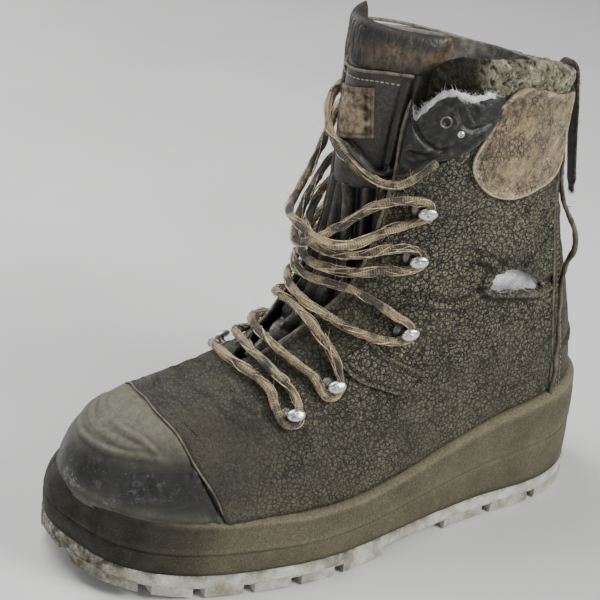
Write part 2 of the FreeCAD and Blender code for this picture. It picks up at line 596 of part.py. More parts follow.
def tongue(s0, s1, rows, cols, d0, thick, k=1.22, s1b=None, k0=None):
    def region(a, b):
        hi = s1 if s1b is None else s1 + (s1b - s1) * b
        s = s0 + (hi - s0) * a
        lo = -(k if k0 is None else k0)
        return ((lo + (k - lo) * b) * (edge_at(s) + 2.0), s)
    def top(a, b, p, s):
        return d0 - 6.2 * (p / (edge_at(s) + 2.0)) ** 2
    return patch(region, top, lambda a, b, p, s: top(a, b, p, s) - thick, rows, cols)


feature("tongue_bellows", tongue(5.72, 10.2, 14, 11, -2.2, 3.2))
feature("tongue_panel", tongue(10.25, 12.55, 8, 11, -1.8, 5.0))
label_reg = lambda a, b: (-13.0 + 38.0 * b, 11.15 + 1.1 * a)


def on_tongue(a, b, p, s):
    return -1.8 - 6.2 * (p / (edge_at(s) + 2.0)) ** 2


feature("tongue_label", patch(label_reg, lambda a, b, p, s: on_tongue(a, b, p, s) + 1.2, lambda a, b, p, s: on_tongue(a, b, p, s) + 0.3, 6, 8))
feature("tongue_roll", tongue(12.6, 13.42, 6, 12, -0.4, 8.0, s1b=13.25, k0=0.7))

# ---------------------------------------------------------------- lace hooks
HOOKS = {
    "hooks_lateral": [(60.0, 3.25), (62.5, 4.42), (69.0, 6.30), (59.5, 8.62), (58.0, 9.90)],
    "hooks_medial": [(-60.0, 3.45), (-60.2, 4.66), (-66.0, 6.35), (-58.0, 8.60), (-56.0, 9.85), (-50.0, 11.55)],
}


def frame_at(ps, s):
    """Axes on the surface: along the angle, up the level, outward."""
    n = normal(ps * D2R, s)
    a, b = surf((ps - 0.1) * D2R, s), surf((ps + 0.1) * D2R, s)
    u = [q - p for p, q in zip(a, b)]
    k = math.sqrt(sum(q * q for q in u))
    u = [q / k for q in u]
    v = (n[1] * u[2] - n[2] * u[1], n[2] * u[0] - n[0] * u[2], n[0] * u[1] - n[1] * u[0])
    return V(*u), V(*v), V(*n)


def hook(tag, ps, s):
    u, v, n = frame_at(ps, s)
    p = V(*surf(ps * D2R, s))
    rot = FreeCAD.Rotation(u, v, n, "ZXY")
    parts = []
    for kind, r, h, z in (("base", "hook_base_radius", "hook_base_thick", 0.25), ("neck", "hook_neck_radius", "hook_neck_height", 0.25), ("cap", "hook_cap_radius", "hook_cap_height", P("hook_neck_height") + 0.1)):
        c = doc.addObject("Part::Cylinder", "%s_%s" % (tag, kind))
        c.setExpression("Radius", "Params." + r)
        c.setExpression("Height", "Params." + h)
        side = u * (math.copysign(1.6, ps) if kind == "cap" else 0.0)
        c.Placement = FreeCAD.Placement(p + n * z + side, rot)
        parts.append(c)
    doc.recompute()
    f = doc.addObject("Part::MultiFuse", tag)
    f.Shapes = parts
    doc.recompute()
    return f


for label, spots in HOOKS.items():
    group = doc.addObject("Part::Compound", label)
    group.Links = [hook("%s_%d" % (label, i + 1), ps, s) for i, (ps, s) in enumerate(spots)]
    group.Label = label
    doc.recompute()
    subparts.append((label, group))

# ---------------------------------------------------------------- lace
HL, HM = HOOKS["hooks_lateral"], HOOKS["hooks_medial"]
# each entry is a point of the route (angle, level, height over the leather), or the hook that the lace turns round
ROUTE = [
    (-70.0, 2.75, 3.4), (-62.0, 3.05, 3.4), (-53.0, 3.75, 3.6), (-40.0, 4.55, 4.2), (-24.0, 5.08, 4.8), (-6.0, 5.38, 5.2), (12.0, 5.38, 5.0), (28.0, 5.15, 4.6), (43.0, 4.55, 4.0), (52.5, 3.75, 3.6),
    HL[0],
    (53.0, 4.35, 3.6), (38.5, 5.1, 4.2), (22.0, 5.62, 4.8), (4.0, 5.86, 5.2), (-14.0, 5.8, 5.0), (-32.0, 5.4, 4.4), (-48.0, 4.78, 3.8),
    HM[1],
    (-50.0, 5.35, 3.7), (-33.0, 5.92, 4.4), (-14.0, 6.2, 5.0), (6.0, 6.25, 5.2), (24.0, 5.98, 4.7), (40.0, 5.52, 4.1), (53.5, 4.95, 3.6),
    HL[1],
    (56.0, 5.35, 3.7), (44.0, 6.08, 4.2), (31.0, 6.72, 4.6), (16.0, 7.16, 5.0), (-2.0, 7.25, 5.3), (-20.0, 7.02, 4.8), (-38.0, 6.62, 4.2), (-53.0, 6.15, 3.7),
    HM[2],
    (-54.0, 7.0, 3.7), (-38.0, 7.4, 4.2), (-18.0, 7.62, 5.0), (2.0, 7.55, 5.3), (20.0, 7.3, 4.9), (38.0, 6.95, 4.3), (56.0, 6.35, 3.7),
    HL[2],
    (61.0, 6.98, 3.7), (50.0, 7.5, 4.1), (36.0, 7.9, 4.5), (19.0, 8.0, 5.0), (0.0, 7.98, 5.4), (-18.0, 8.0, 4.9), (-34.0, 8.1, 4.3), (-47.0, 8.28, 3.7),
    HM[3],
    (-47.0, 8.85, 3.7), (-32.0, 8.6, 4.4), (-15.0, 8.38, 5.2), (4.0, 8.34, 5.4), (24.0, 8.32, 4.8), (38.0, 8.3, 4.1), (49.0, 8.34, 3.6),
    HL[3],
    (49.5, 8.98, 3.6), (38.0, 8.78, 4.1), (24.0, 8.68, 4.8), (4.0, 8.72, 5.4), (-15.0, 8.95, 5.0), (-32.0, 9.3, 4.4), (-45.0, 9.55, 3.7),
    HM[4],
    (-46.0, 10.2, 3.7), (-34.0, 9.85, 5.8), (-22.0, 9.3, 8.8), (-12.0, 8.8, 10.6), (-3.0, 8.6, 10.6), (8.0, 8.95, 9.8), (17.0, 9.3, 7.2), (27.0, 9.7, 5.0), (38.0, 10.08, 4.2), (47.5, 10.18, 3.6),
    HL[4],
    (48.0, 9.52, 3.6), (38.0, 9.22, 5.0), (28.0, 9.02, 9.2), (19.0, 8.98, 13.0), (8.0, 9.15, 16.0), (-2.0, 9.25, 16.6), (-11.0, 9.25, 16.0), (-20.0, 9.3, 14.6), (-30.0, 9.6, 12.6), (-37.0, 10.1, 10.0), (-40.0, 10.65, 7.0), (-40.5, 11.15, 4.0),
    HM[5],
    (-39.0, 11.75, 3.8), (-26.0, 11.62, 4.6), (-8.0, 11.3, 5.0), (8.0, 11.0, 5.0), (22.0, 10.75, 5.2), (34.0, 10.58, 6.6), (41.0, 10.55, 8.2), (47.0, 10.62, 8.8), (53.0, 10.85, 8.4), (59.0, 11.15, 7.6),
]


def route_points():
    pts = [None if len(e) == 2 else V(*off(e[0] * D2R, e[1], e[2])) for e in ROUTE]
    out = []
    for i, e in enumerate(ROUTE):
        if len(e) == 3:
            out.append(pts[i])
            continue
        # U-turn round the neck: two square corners, one each side of it
        u, v, n = frame_at(*e)
        c = V(*surf(e[0] * D2R, e[1])) + n * 3.6
        back = (pts[i - 1] + pts[i + 1]) * 0.5 - c
        back = back - n * back.dot(n)
        back.normalize()
        side = n.cross(back)
        if (pts[i + 1] - pts[i - 1]).dot(side) > 0:
            side = side * -1.0
        r = 4.5
        out.append(c - back * r + side * r)
        out.append(c - back * r - side * r)
    return out


def lace_path(pts):
    """Straight runs joined by tangent arcs, each arc as large as its two runs allow."""
    n = len(pts)
    radii, edges = [], []
    last = pts[0]
    for i in range(1, n - 1):
        a, b, c = pts[i - 1], pts[i], pts[i + 1]
        d0, d1 = (a - b), (c - b)
        l0, l1 = d0.Length, d1.Length
        d0.normalize()
        d1.normalize()
        turn = math.pi - math.acos(max(-1.0, min(1.0, d0.dot(d1))))
        if turn < 0.01:
            raise ValueError("points in line at %d" % i)
        k = 0.45 * min(l0, l1)
        r = k / math.tan(turn / 2)
        radii.append((round(r, 1), round(math.degrees(turn))))
        p, q = b + d0 * k, b + d1 * k
        mid = b + (d0 + d1).normalize() * (r / math.cos(turn / 2) - r)
        if (p - last).Length > 1e-6:
            edges.append(Part.LineSegment(last, p).toShape())
        edges.append(Part.Arc(p, mid, q).toShape())
        last = q
    edges.append(Part.LineSegment(last, pts[-1]).toShape())
    return Part.Wire(edges), radii


route = route_points()
path, radii = lace_path(route)
print("lace radii and turns", radii)
print("lace length", round(path.Length, 1), "points", len(route))


def tube_of(wire, radius):
    """Round tube made of one cylinder or torus face for each edge of the path."""
    first = wire.Edges[0]
    ring = Part.makeCircle(radius, first.valueAt(first.FirstParameter), first.tangentAt(first.FirstParameter))
    faces = [Part.Face(Part.Wire([ring]))]
    for e in wire.Edges:
        p, q = e.valueAt(e.FirstParameter), e.valueAt(e.LastParameter)
        if isinstance(e.Curve, Part.Circle):
            c, ax = e.Curve.Center, e.Curve.Axis
            ang = math.degrees(e.LastParameter - e.FirstParameter)
            if e.tangentAt(e.FirstParameter).dot(ax.cross(p - c)) < 0:
                ang = -ang
            faces.append(ring.revolve(c, ax, ang))
            ring = ring.copy()
            ring.rotate(c, ax, ang)
        else:
            faces.append(ring.extrude(q - p))
            ring = ring.copy()
            ring.translate(q - p)
    faces.append(Part.Face(Part.Wire([ring])))
    comp = Part.makeCompound(faces)
    comp.sewShape()
    solid = Part.makeSolid(comp.Shells[0])
    if solid.Volume < 0:
        solid.reverse()
    return solid


tube = tube_of(path, P("lace_diameter") / 2)
want = math.pi * (P("lace_diameter") / 2) ** 2 * path.Length
print("lace volume over section times length", round(tube.Volume / want, 4))
feature("lace", tube)

# ---------------------------------------------------------------- pull strap at the back of the collar
strap = new_body("pull_strap")
sk = new_sketch(strap, "strap_profile", "YZ_Plane")
line = [(118.5, 240.6), (121.5, 243.4), (125.5, 241.0), (128.3, 232.0), (130.5, 220.0), (132.8, 207.0), (135.6, 192.0), (138.0, 180.0), (139.8, 169.0)]
lt, rt = [], []
for i, p in enumerate(line):
    a, b = line[max(0, i - 1)], line[min(len(line) - 1, i + 1)]
    ty, tz = b[0] - a[0], b[1] - a[1]
    k = math.hypot(ty, tz)
    w = P("strap_thick") / 2
    lt.append((p[0] - tz / k * w, p[1] + ty / k * w))
    rt.append((p[0] + tz / k * w, p[1] - ty / k * w))
for pts in (lt, rt):
    c = Part.BSplineCurve()
    c.interpolate([V(y, z, 0) for y, z in pts])
    sk.addGeometry(c)
sk.addGeometry(Part.LineSegment(V(lt[-1][0], lt[-1][1], 0), V(rt[-1][0], rt[-1][1], 0)))
sk.addGeometry(Part.LineSegment(V(rt[0][0], rt[0][1], 0), V(lt[0][0], lt[0][1], 0)))
sk.addConstraint(Sketcher.Constraint("Coincident", 0, 2, 2, 1))
sk.addConstraint(Sketcher.Constraint("Coincident", 2, 2, 1, 2))
sk.addConstraint(Sketcher.Constraint("Coincident", 1, 1, 3, 1))
sk.addConstraint(Sketcher.Constraint("Coincident", 3, 2, 0, 1))
doc.recompute()
pad(strap, sk, P("strap_width"), "Params.strap_width", mid=True)
subparts.append(("pull_strap", strap))

# ---------------------------------------------------------------- origin, checks and export
doc.recompute()
for o in doc.Objects:
    bad = [q for q in o.State if q in ("Invalid", "Error")]
    if bad:
        raise RuntimeError("%s failed: %s" % (o.Name, bad))
box = FreeCAD.BoundBox()
for label, o in subparts:
    sh = o.Shape
    if sh.isNull() or not sh.isValid():
        raise RuntimeError("%s is null or not valid" % label)
    if any(q.Volume <= 0 for q in sh.Solids) or not sh.Solids:
        raise RuntimeError("%s has no positive solid" % label)
    if label in ("outsole", "midsole", "tongue_roll"):
        box.add(sh.optimalBoundingBox(True, False))
print("box", box, "nodes", len(subparts))
shift = V(-(box.XMin + box.XMax) / 2, -(box.YMin + box.YMax) / 2, -box.ZMin)
print("shift", shift)
for label, o in subparts:
    sh = o.Shape.copy()
    sh.translate(shift)
    sh.exportStep("parts/%s.step" % label)
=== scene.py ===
import math

import bmesh
import bpy
import numpy as np
from mathutils import Matrix, Vector, noise


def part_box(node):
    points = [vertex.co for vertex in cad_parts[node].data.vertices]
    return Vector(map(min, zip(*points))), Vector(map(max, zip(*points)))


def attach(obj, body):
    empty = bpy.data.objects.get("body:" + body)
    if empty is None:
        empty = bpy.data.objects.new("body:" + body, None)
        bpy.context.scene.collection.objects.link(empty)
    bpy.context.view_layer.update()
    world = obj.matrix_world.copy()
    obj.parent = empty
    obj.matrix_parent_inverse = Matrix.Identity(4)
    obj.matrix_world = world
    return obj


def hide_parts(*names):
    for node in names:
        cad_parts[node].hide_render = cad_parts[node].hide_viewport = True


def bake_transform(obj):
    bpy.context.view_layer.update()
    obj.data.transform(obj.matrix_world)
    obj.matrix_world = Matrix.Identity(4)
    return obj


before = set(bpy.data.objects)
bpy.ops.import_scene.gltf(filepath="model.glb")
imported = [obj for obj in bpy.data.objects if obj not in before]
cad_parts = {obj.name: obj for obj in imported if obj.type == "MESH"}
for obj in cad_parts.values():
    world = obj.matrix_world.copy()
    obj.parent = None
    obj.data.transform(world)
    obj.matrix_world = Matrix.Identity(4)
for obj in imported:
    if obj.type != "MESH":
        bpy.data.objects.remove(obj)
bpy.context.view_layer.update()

# The boot's own frame (millimetres, as the surface below is written in) to the row frame (metres)
SHIFT = np.array([-0.62059, 0.14591, 0.0])
R2D, D2R = 180 / math.pi, math.pi / 180


def mm(p):
    return (np.asarray(p, float) + SHIFT) / 1000.0


# ------------------------------------------------------------------ camera first
def make_camera():
    a, e, r = math.radians(56.71), math.radians(27.32), math.radians(5.69)
    back = np.array([math.sin(a) * math.cos(e), -math.cos(a) * math.cos(e), math.sin(e)])
    right = np.array([math.cos(a), math.sin(a), 0.0])
    up = np.cross(back, right)
    rr = math.cos(r) * right + math.sin(r) * up
    uu = -math.sin(r) * right + math.cos(r) * up
    cam = bpy.data.cameras.new("camera")
    cam.sensor_width = 36.0
    cam.lens = 1649.49 / 600.0 * 36.0
    cam.clip_end = 50
    o = bpy.data.objects.new("camera", cam)
    m = Matrix.Identity(4)
    pos = mm((615.17, -431.92, 512.06))
    for i in range(3):
        m[i][0], m[i][1], m[i][2], m[i][3] = rr[i], uu[i], back[i], pos[i]
    o.matrix_world = m
    bpy.context.scene.collection.objects.link(o)
    bpy.context.scene.camera = o
    return o


camera = make_camera()

# ------------------------------------------------------------------ the boot surface, vectorised
SLICES = np.array([
    [-149.0, 30.0, 150.0, 38.0, -12.0, 27.5, 50.0, 48.5, 38.0, 30.0, 46.0, 52.0, 41.5, 35.5, 30.0],
    [-147.0, 52.0, 150.0, 58.0, -12.0, 26.5, 49.2, 48.3, 38.0, 29.8, 44.5, 50.6, 41.2, 35.4, 29.8],
    [-138.5, 71.0, 148.5, 77.0, -11.0, 23.0, 45.0, 46.5, 38.0, 29.0, 40.0, 45.0, 39.0, 35.2, 29.0],
    [-122.0, 83.0, 145.5, 95.0, -9.0, 19.5, 37.5, 43.8, 36.8, 27.0, 30.0, 37.5, 37.0, 33.8, 27.0],
    [-100.0, 90.0, 141.5, 112.0, -6.5, 17.5, 33.5, 41.2, 35.5, 25.2, 23.5, 33.5, 35.5, 32.8, 25.2],
    [-75.0, 98.0, 137.0, 127.0, -4.0, 17.0, 33.0, 39.4, 34.7, 23.8, 19.5, 32.5, 35.2, 32.4, 23.8],
    [-52.0, 111.0, 132.5, 140.0, -2.0, 17.0, 33.0, 38.8, 34.5, 22.8, 18.0, 32.0, 35.5, 32.6, 22.8],
    [-36.0, 128.0, 128.5, 153.0, -1.0, 17.0, 32.8, 38.6, 34.5, 22.0, 17.5, 31.6, 36.0, 33.0, 22.0],
    [-26.0, 147.0, 124.5, 166.0, 0.0, 17.0, 32.4, 38.7, 34.7, 21.5, 17.2, 31.4, 36.8, 33.6, 21.5],
    [-19.5, 168.0, 121.0, 181.0, 0.0, 17.2, 32.6, 39.2, 35.2, 21.5, 17.2, 32.0, 38.0, 34.6, 21.5],
    [-16.0, 190.0, 118.5, 198.0, 0.0, 17.6, 33.4, 40.2, 36.2, 22.0, 17.6, 33.0, 39.5, 36.0, 22.0],
    [-14.0, 214.0, 117.0, 217.0, 0.0, 18.2, 34.6, 41.8, 37.6, 23.0, 18.2, 34.2, 41.3, 37.5, 23.0],
    [-13.0, 240.0, 116.5, 238.0, 0.0, 19.0, 36.0, 43.5, 39.0, 24.0, 19.0, 35.6, 43.0, 39.0, 24.0],
    [-12.5, 268.0, 116.5, 260.0, 0.0, 19.8, 37.2, 45.0, 40.0, 24.6, 19.8, 37.0, 44.6, 40.0, 24.6],
])
PHI = np.radians([0, 30, 60, 90, 120, 150, 180.0])


def spline_m(x, y, clamped=False):
    n = len(x)
    y = np.asarray(y, float).reshape(n, -1)
    A = np.zeros((n, n))
    r = np.zeros((n, y.shape[1]))
    h = np.diff(x)
    for i in range(1, n - 1):
        A[i, i - 1], A[i, i], A[i, i + 1] = h[i - 1] / 6, (h[i - 1] + h[i]) / 3, h[i] / 6
        r[i] = (y[i + 1] - y[i]) / h[i] - (y[i] - y[i - 1]) / h[i - 1]
    if clamped:
        A[0, 0], A[0, 1] = h[0] / 3, h[0] / 6
        r[0] = (y[1] - y[0]) / h[0]
        A[-1, -1], A[-1, -2] = h[-1] / 3, h[-1] / 6
        r[-1] = -(y[-1] - y[-2]) / h[-1]
    else:
        A[0, 0] = A[-1, -1] = 1
    return np.linalg.solve(A, r)


def spline_v(x, y, m, q):
    x = np.asarray(x, float)
    y = np.asarray(y, float).reshape(len(x), -1)
    q = np.asarray(q, float)
    i = np.clip(np.searchsorted(x, q, side="left") - 1, 0, len(x) - 2)
    h = (x[i + 1] - x[i])[..., None]
    b = (q - x[i])[..., None] / h
    a = 1 - b
    return a * y[i] + b * y[i + 1] + ((a ** 3 - a) * m[i] + (b ** 3 - b) * m[i + 1]) * h * h / 6


def _rows():
    out = []
    for sl in SLICES:
        c0, xl, xm = sl[4], sl[5:10], sl[10:15]
        t = (1 - np.cos(PHI[1:-1])) / 2
        c = c0 * (1 - t) ** 2
        gl, gm = (xl - c) / np.sin(PHI[1:-1]), (xm + c) / np.sin(PHI[1:-1])
        g0, g1 = (gl[0] + gm[0]) / 2 * 0.97, (gl[-1] + gm[-1]) / 2 * 1.03
        out.append(np.r_[sl[:5], g0, gl, g1, g0, gm, g1])
    return np.array(out)


SK = np.arange(len(SLICES), dtype=float)
SV = _rows()
SM = spline_m(SK, SV)
PE = np.eye(7)
PM = spline_m(PHI, PE, True)


def surf(psi, s):
    """Outer leather surface in mm. psi in degrees from the front ridge, lateral positive; s up the slices."""
    psi, s = np.broadcast_arrays(np.asarray(psi, float) * D2R, np.asarray(s, float))
    v = spline_v(SK, SV, SM, s)
    psi = (psi + math.pi) % (2 * math.pi) - math.pi
    phi = np.abs(psi)
    t = (1 - np.cos(phi)) / 2
    b = spline_v(PHI, PE, PM, phi)
    lat = psi >= 0
    g = np.where(lat[..., None], v[..., 5:12], v[..., 12:19])
    w = (b * g).sum(-1) * np.sin(phi)
    x = v[..., 4] * (1 - t) ** 2 + np.where(lat, w, -w)
    return np.stack([x, v[..., 0] + (v[..., 2] - v[..., 0]) * t, v[..., 1] + (v[..., 3] - v[..., 1]) * t], -1)


def normal(psi, s):
    psi, s = np.broadcast_arrays(np.asarray(psi, float), np.asarray(s, float))
    u = surf(psi + 0.06, s) - surf(psi - 0.06, s)
    v = surf(psi, s + 0.002) - surf(psi, s - 0.002)
    n = np.cross(u, v)
    return n / np.maximum(np.linalg.norm(n, axis=-1, keepdims=True), 1e-9)


def off(psi, s, d):
    return surf(psi, s) + normal(psi, s) * np.asarray(d, float)[..., None]


def curve(pts):
    p = np.array(pts, float)
    d = np.hypot(np.diff(p[:, 0]) * 0.8, np.diff(p[:, 1]) * 20.0)
    t = np.r_[0, np.cumsum(d)] / d.sum()
    m = spline_m(t, p) if len(p) > 2 else np.zeros_like(p)
    return lambda v: spline_v(t, p, m, np.asarray(v, float))


# ------------------------------------------------------------------ noise and distances
rng = np.random.default_rng(7)


def waves(P, scale, seed=0, octaves=3):
    """Smooth noise, about -1 to 1, from sines in random directions; P in mm."""
    r = np.random.default_rng(seed + 100)
    out = np.zeros(P.shape[:-1])
    amp, tot = 1.0, 0.0
    for o in range(octaves):
        for k in range(5):
            d = r.normal(size=3)
            d /= np.linalg.norm(d)
            ph = r.uniform(0, 6.28)
            f = 2 * math.pi / (scale / 2 ** o) * r.uniform(0.7, 1.3)
            out += amp * np.sin((P @ d) * f + ph + 1.3 * np.sin((P @ np.roll(d, 1)) * f * 0.6 + ph * 2)) / 3.2
        tot += amp
        amp *= 0.5
    return out / tot


def near(P, line, both=False):
    """Distance from points P to a polyline, in mm, and the share of its length at the nearest point."""
    L = np.asarray(line, float)
    best = np.full(P.shape[:-1], 1e9)
    at = np.zeros(P.shape[:-1])
    ln = np.r_[0, np.cumsum(np.linalg.norm(np.diff(L, axis=0), axis=1))]
    for i in range(len(L) - 1):
        a, d = L[i], L[i + 1] - L[i]
        t = np.clip(((P - a) @ d) / max(d @ d, 1e-9), 0, 1)
        q = np.linalg.norm(P - (a + t[..., None] * d), axis=-1)
        m = q < best
        best = np.where(m, q, best)
        at = np.where(m, (ln[i] + t * (ln[i + 1] - ln[i])) / ln[-1], at)
    return best, at


def on_surf(pts, n=6, d=0.0):
    """Polyline on the boot surface through (angle, level) pairs."""
    c = curve(pts)(np.linspace(0, 1, (len(pts) - 1) * n + 1))
    return off(c[:, 0], c[:, 1], np.full(len(c), d))


def bump(x, w):
    return np.exp(-(x / w) ** 2)


def step(x, lo, hi):
    t = np.clip((x - lo) / (hi - lo), 0, 1)
    return t * t * (3 - 2 * t)


# ------------------------------------------------------------------ meshes
def new_mesh(name, verts, quads, attrs=None, tris=None, smooth=True):
    me = bpy.data.meshes.new(name)
    verts = np.asarray(verts, float).reshape(-1, 3)
    quads = np.asarray(quads, int).reshape(-1, 4)
    nt = 0 if tris is None else len(tris)
    me.vertices.add(len(verts))
    me.vertices.foreach_set("co", mm(verts).astype(np.float32).ravel())
    loops = quads.ravel() if nt == 0 else np.r_[quads.ravel(), np.asarray(tris, int).ravel()]
    me.loops.add(len(loops))
    me.loops.foreach_set("vertex_index", loops.astype(np.int32))
    me.polygons.add(len(quads) + nt)
    start = np.r_[np.arange(len(quads)) * 4, len(quads) * 4 + np.arange(nt) * 3].astype(np.int32)
    me.polygons.foreach_set("loop_start", start)
    me.update(calc_edges=True)
    me.validate()
    if smooth:
        me.polygons.foreach_set("use_smooth", np.ones(len(me.polygons), bool))
    for k, v in (attrs or {}).items():
        a = me.attributes.new(k, "FLOAT", "POINT")
        a.data.foreach_set("value", np.asarray(v, np.float32).ravel())
    o = bpy.data.objects.new(name, me)
    bpy.context.scene.collection.objects.link(o)
    return o


def quads_of(n, m, wrap_n=False, wrap_m=False):
    i = np.arange(n if wrap_n else n - 1)
    j = np.arange(m if wrap_m else m - 1)
    I, J = np.meshgrid(i, j, indexing="ij")
    a = I * m + J
    b = ((I + 1) % n) * m + J
    c = ((I + 1) % n) * m + (J + 1) % m
    d = I * m + (J + 1) % m
    return np.stack([a, b, c, d], -1).reshape(-1, 4)


def shell(name, O, I, attrs=None, keep=None):
    """Closed sheet between an outer and an inner grid of points. keep masks the cells that stay."""
    n, m = O.shape[:2]
    base = quads_of(n, m)
    if keep is not None:
        base = base[keep.ravel()]
    u = O[1, m // 2] - O[0, m // 2]
    v = O[n // 2, 1] - O[n // 2, 0]
    q = base[len(base) // 2]
    F = O.reshape(-1, 3)
    nn = np.cross(F[q[1]] - F[q[0]], F[q[3]] - F[q[0]])
    flip = nn @ (F[q[0]] - I.reshape(-1, 3)[q[0]]) < 0
    if flip:
        base = base[:, ::-1]
    edges = np.concatenate([base[:, [0, 1]], base[:, [1, 2]], base[:, [2, 3]], base[:, [3, 0]]])
    key = np.sort(edges, 1)
    k = key[:, 0].astype(np.int64) * (n * m) + key[:, 1]
    uq, inv, cnt = np.unique(k, return_inverse=True, return_counts=True)
    rim = edges[cnt[inv.ravel()] == 1]
    N = n * m
    sides = np.stack([rim[:, 1], rim[:, 0], rim[:, 0] + N, rim[:, 1] + N], -1)
    quads = np.concatenate([base, base[:, ::-1] + N, sides])
    verts = np.concatenate([F, I.reshape(-1, 3)])
    used = np.unique(quads)
    remap = -np.ones(2 * N, int)
    remap[used] = np.arange(len(used))
    at = {}
    edge = np.zeros(N)
    edge[np.unique(rim)] = 1.0
    for key2, val in (attrs or {}).items():
        val = np.broadcast_to(val, (n, m)).ravel()
        at[key2] = np.concatenate([val, val])[used]
    at["rim"] = np.concatenate([edge, edge])[used]
    return new_mesh(name, verts[used], remap[quads], at)


def tube(name, path, radius, sides=14, attrs=None, up=None, profile=None, caps=True):
    """Tube along points, with parallel-transported rings. radius may vary along it; profile(i, angle) scales it."""
    P = np.asarray(path, float)
    n = len(P)
    T = np.gradient(P, axis=0)
    T /= np.maximum(np.linalg.norm(T, axis=1, keepdims=True), 1e-9)
    ref = np.array([0, 0, 1.0]) if up is None else np.asarray(up, float)
    if abs(ref @ T[0]) > 0.9:
        ref = np.array([1.0, 0, 0])
    N = np.zeros_like(P)
    N[0] = ref - T[0] * (ref @ T[0])
    N[0] /= np.linalg.norm(N[0])
    for i in range(1, n):
        v = N[i - 1] - T[i] * (N[i - 1] @ T[i])
        N[i] = v / max(np.linalg.norm(v), 1e-9)
    B = np.cross(T, N)
    ang = np.linspace(0, 2 * math.pi, sides, endpoint=False)
    r = np.broadcast_to(np.asarray(radius, float), (n,))
    R = r[:, None] * np.ones(sides)
    if profile is not None:
        R = R * profile(np.arange(n)[:, None], ang[None, :])
    V = P[:, None] + R[..., None] * (np.cos(ang)[None, :, None] * N[:, None] + np.sin(ang)[None, :, None] * B[:, None])
    q = quads_of(n, sides, wrap_m=True)
    verts = V.reshape(-1, 3)
    tris = []
    if caps:
        c0, c1 = len(verts), len(verts) + 1
        verts = np.concatenate([verts, P[:1], P[-1:]])
        for j in range(sides):
            tris.append((c0, j, (j + 1) % sides))
            tris.append((c1, (n - 1) * sides + (j + 1) % sides, (n - 1) * sides + j))
    at = {}
    for k, v in (attrs or {}).items():
        full = np.broadcast_to(v, (n, sides)).ravel() if np.ndim(v) == 2 else np.repeat(np.asarray(v, float), sides)
        at[k] = np.r_[full, full[:1], full[-1:]] if caps else full
    return verts, q[:, ::-1], np.array(tris), at


def tube_object(name, path, radius, **kw):
    v, q, t, at = tube(name, path, radius, **kw)
    return new_mesh(name, v, q, at, t if len(t) else None)


def merge(name, parts):
    """One object from several (verts, quads, tris, attrs)."""
    V, Q, T, A = [], [], [], {}
    n = 0
    keys = sorted({k for p in parts for k in p[3]})
    for v, q, t, at in parts:
        V.append(v)
        Q.append(np.asarray(q, int).reshape(-1, 4) + n)
        if t is not None and len(t):
            T.append(np.asarray(t, int) + n)
        for k in keys:
            A.setdefault(k, []).append(np.asarray(at.get(k, np.zeros(len(v))), float))
        n += len(v)
    return new_mesh(name, np.concatenate(V), np.concatenate(Q), {k: np.concatenate(a) for k, a in A.items()}, np.concatenate(T) if T else None)


# ------------------------------------------------------------------ materials
def rgb(r, g, b):
    return tuple((c / 255.0) ** 2.2 for c in (r, g, b)) + (1.0,)


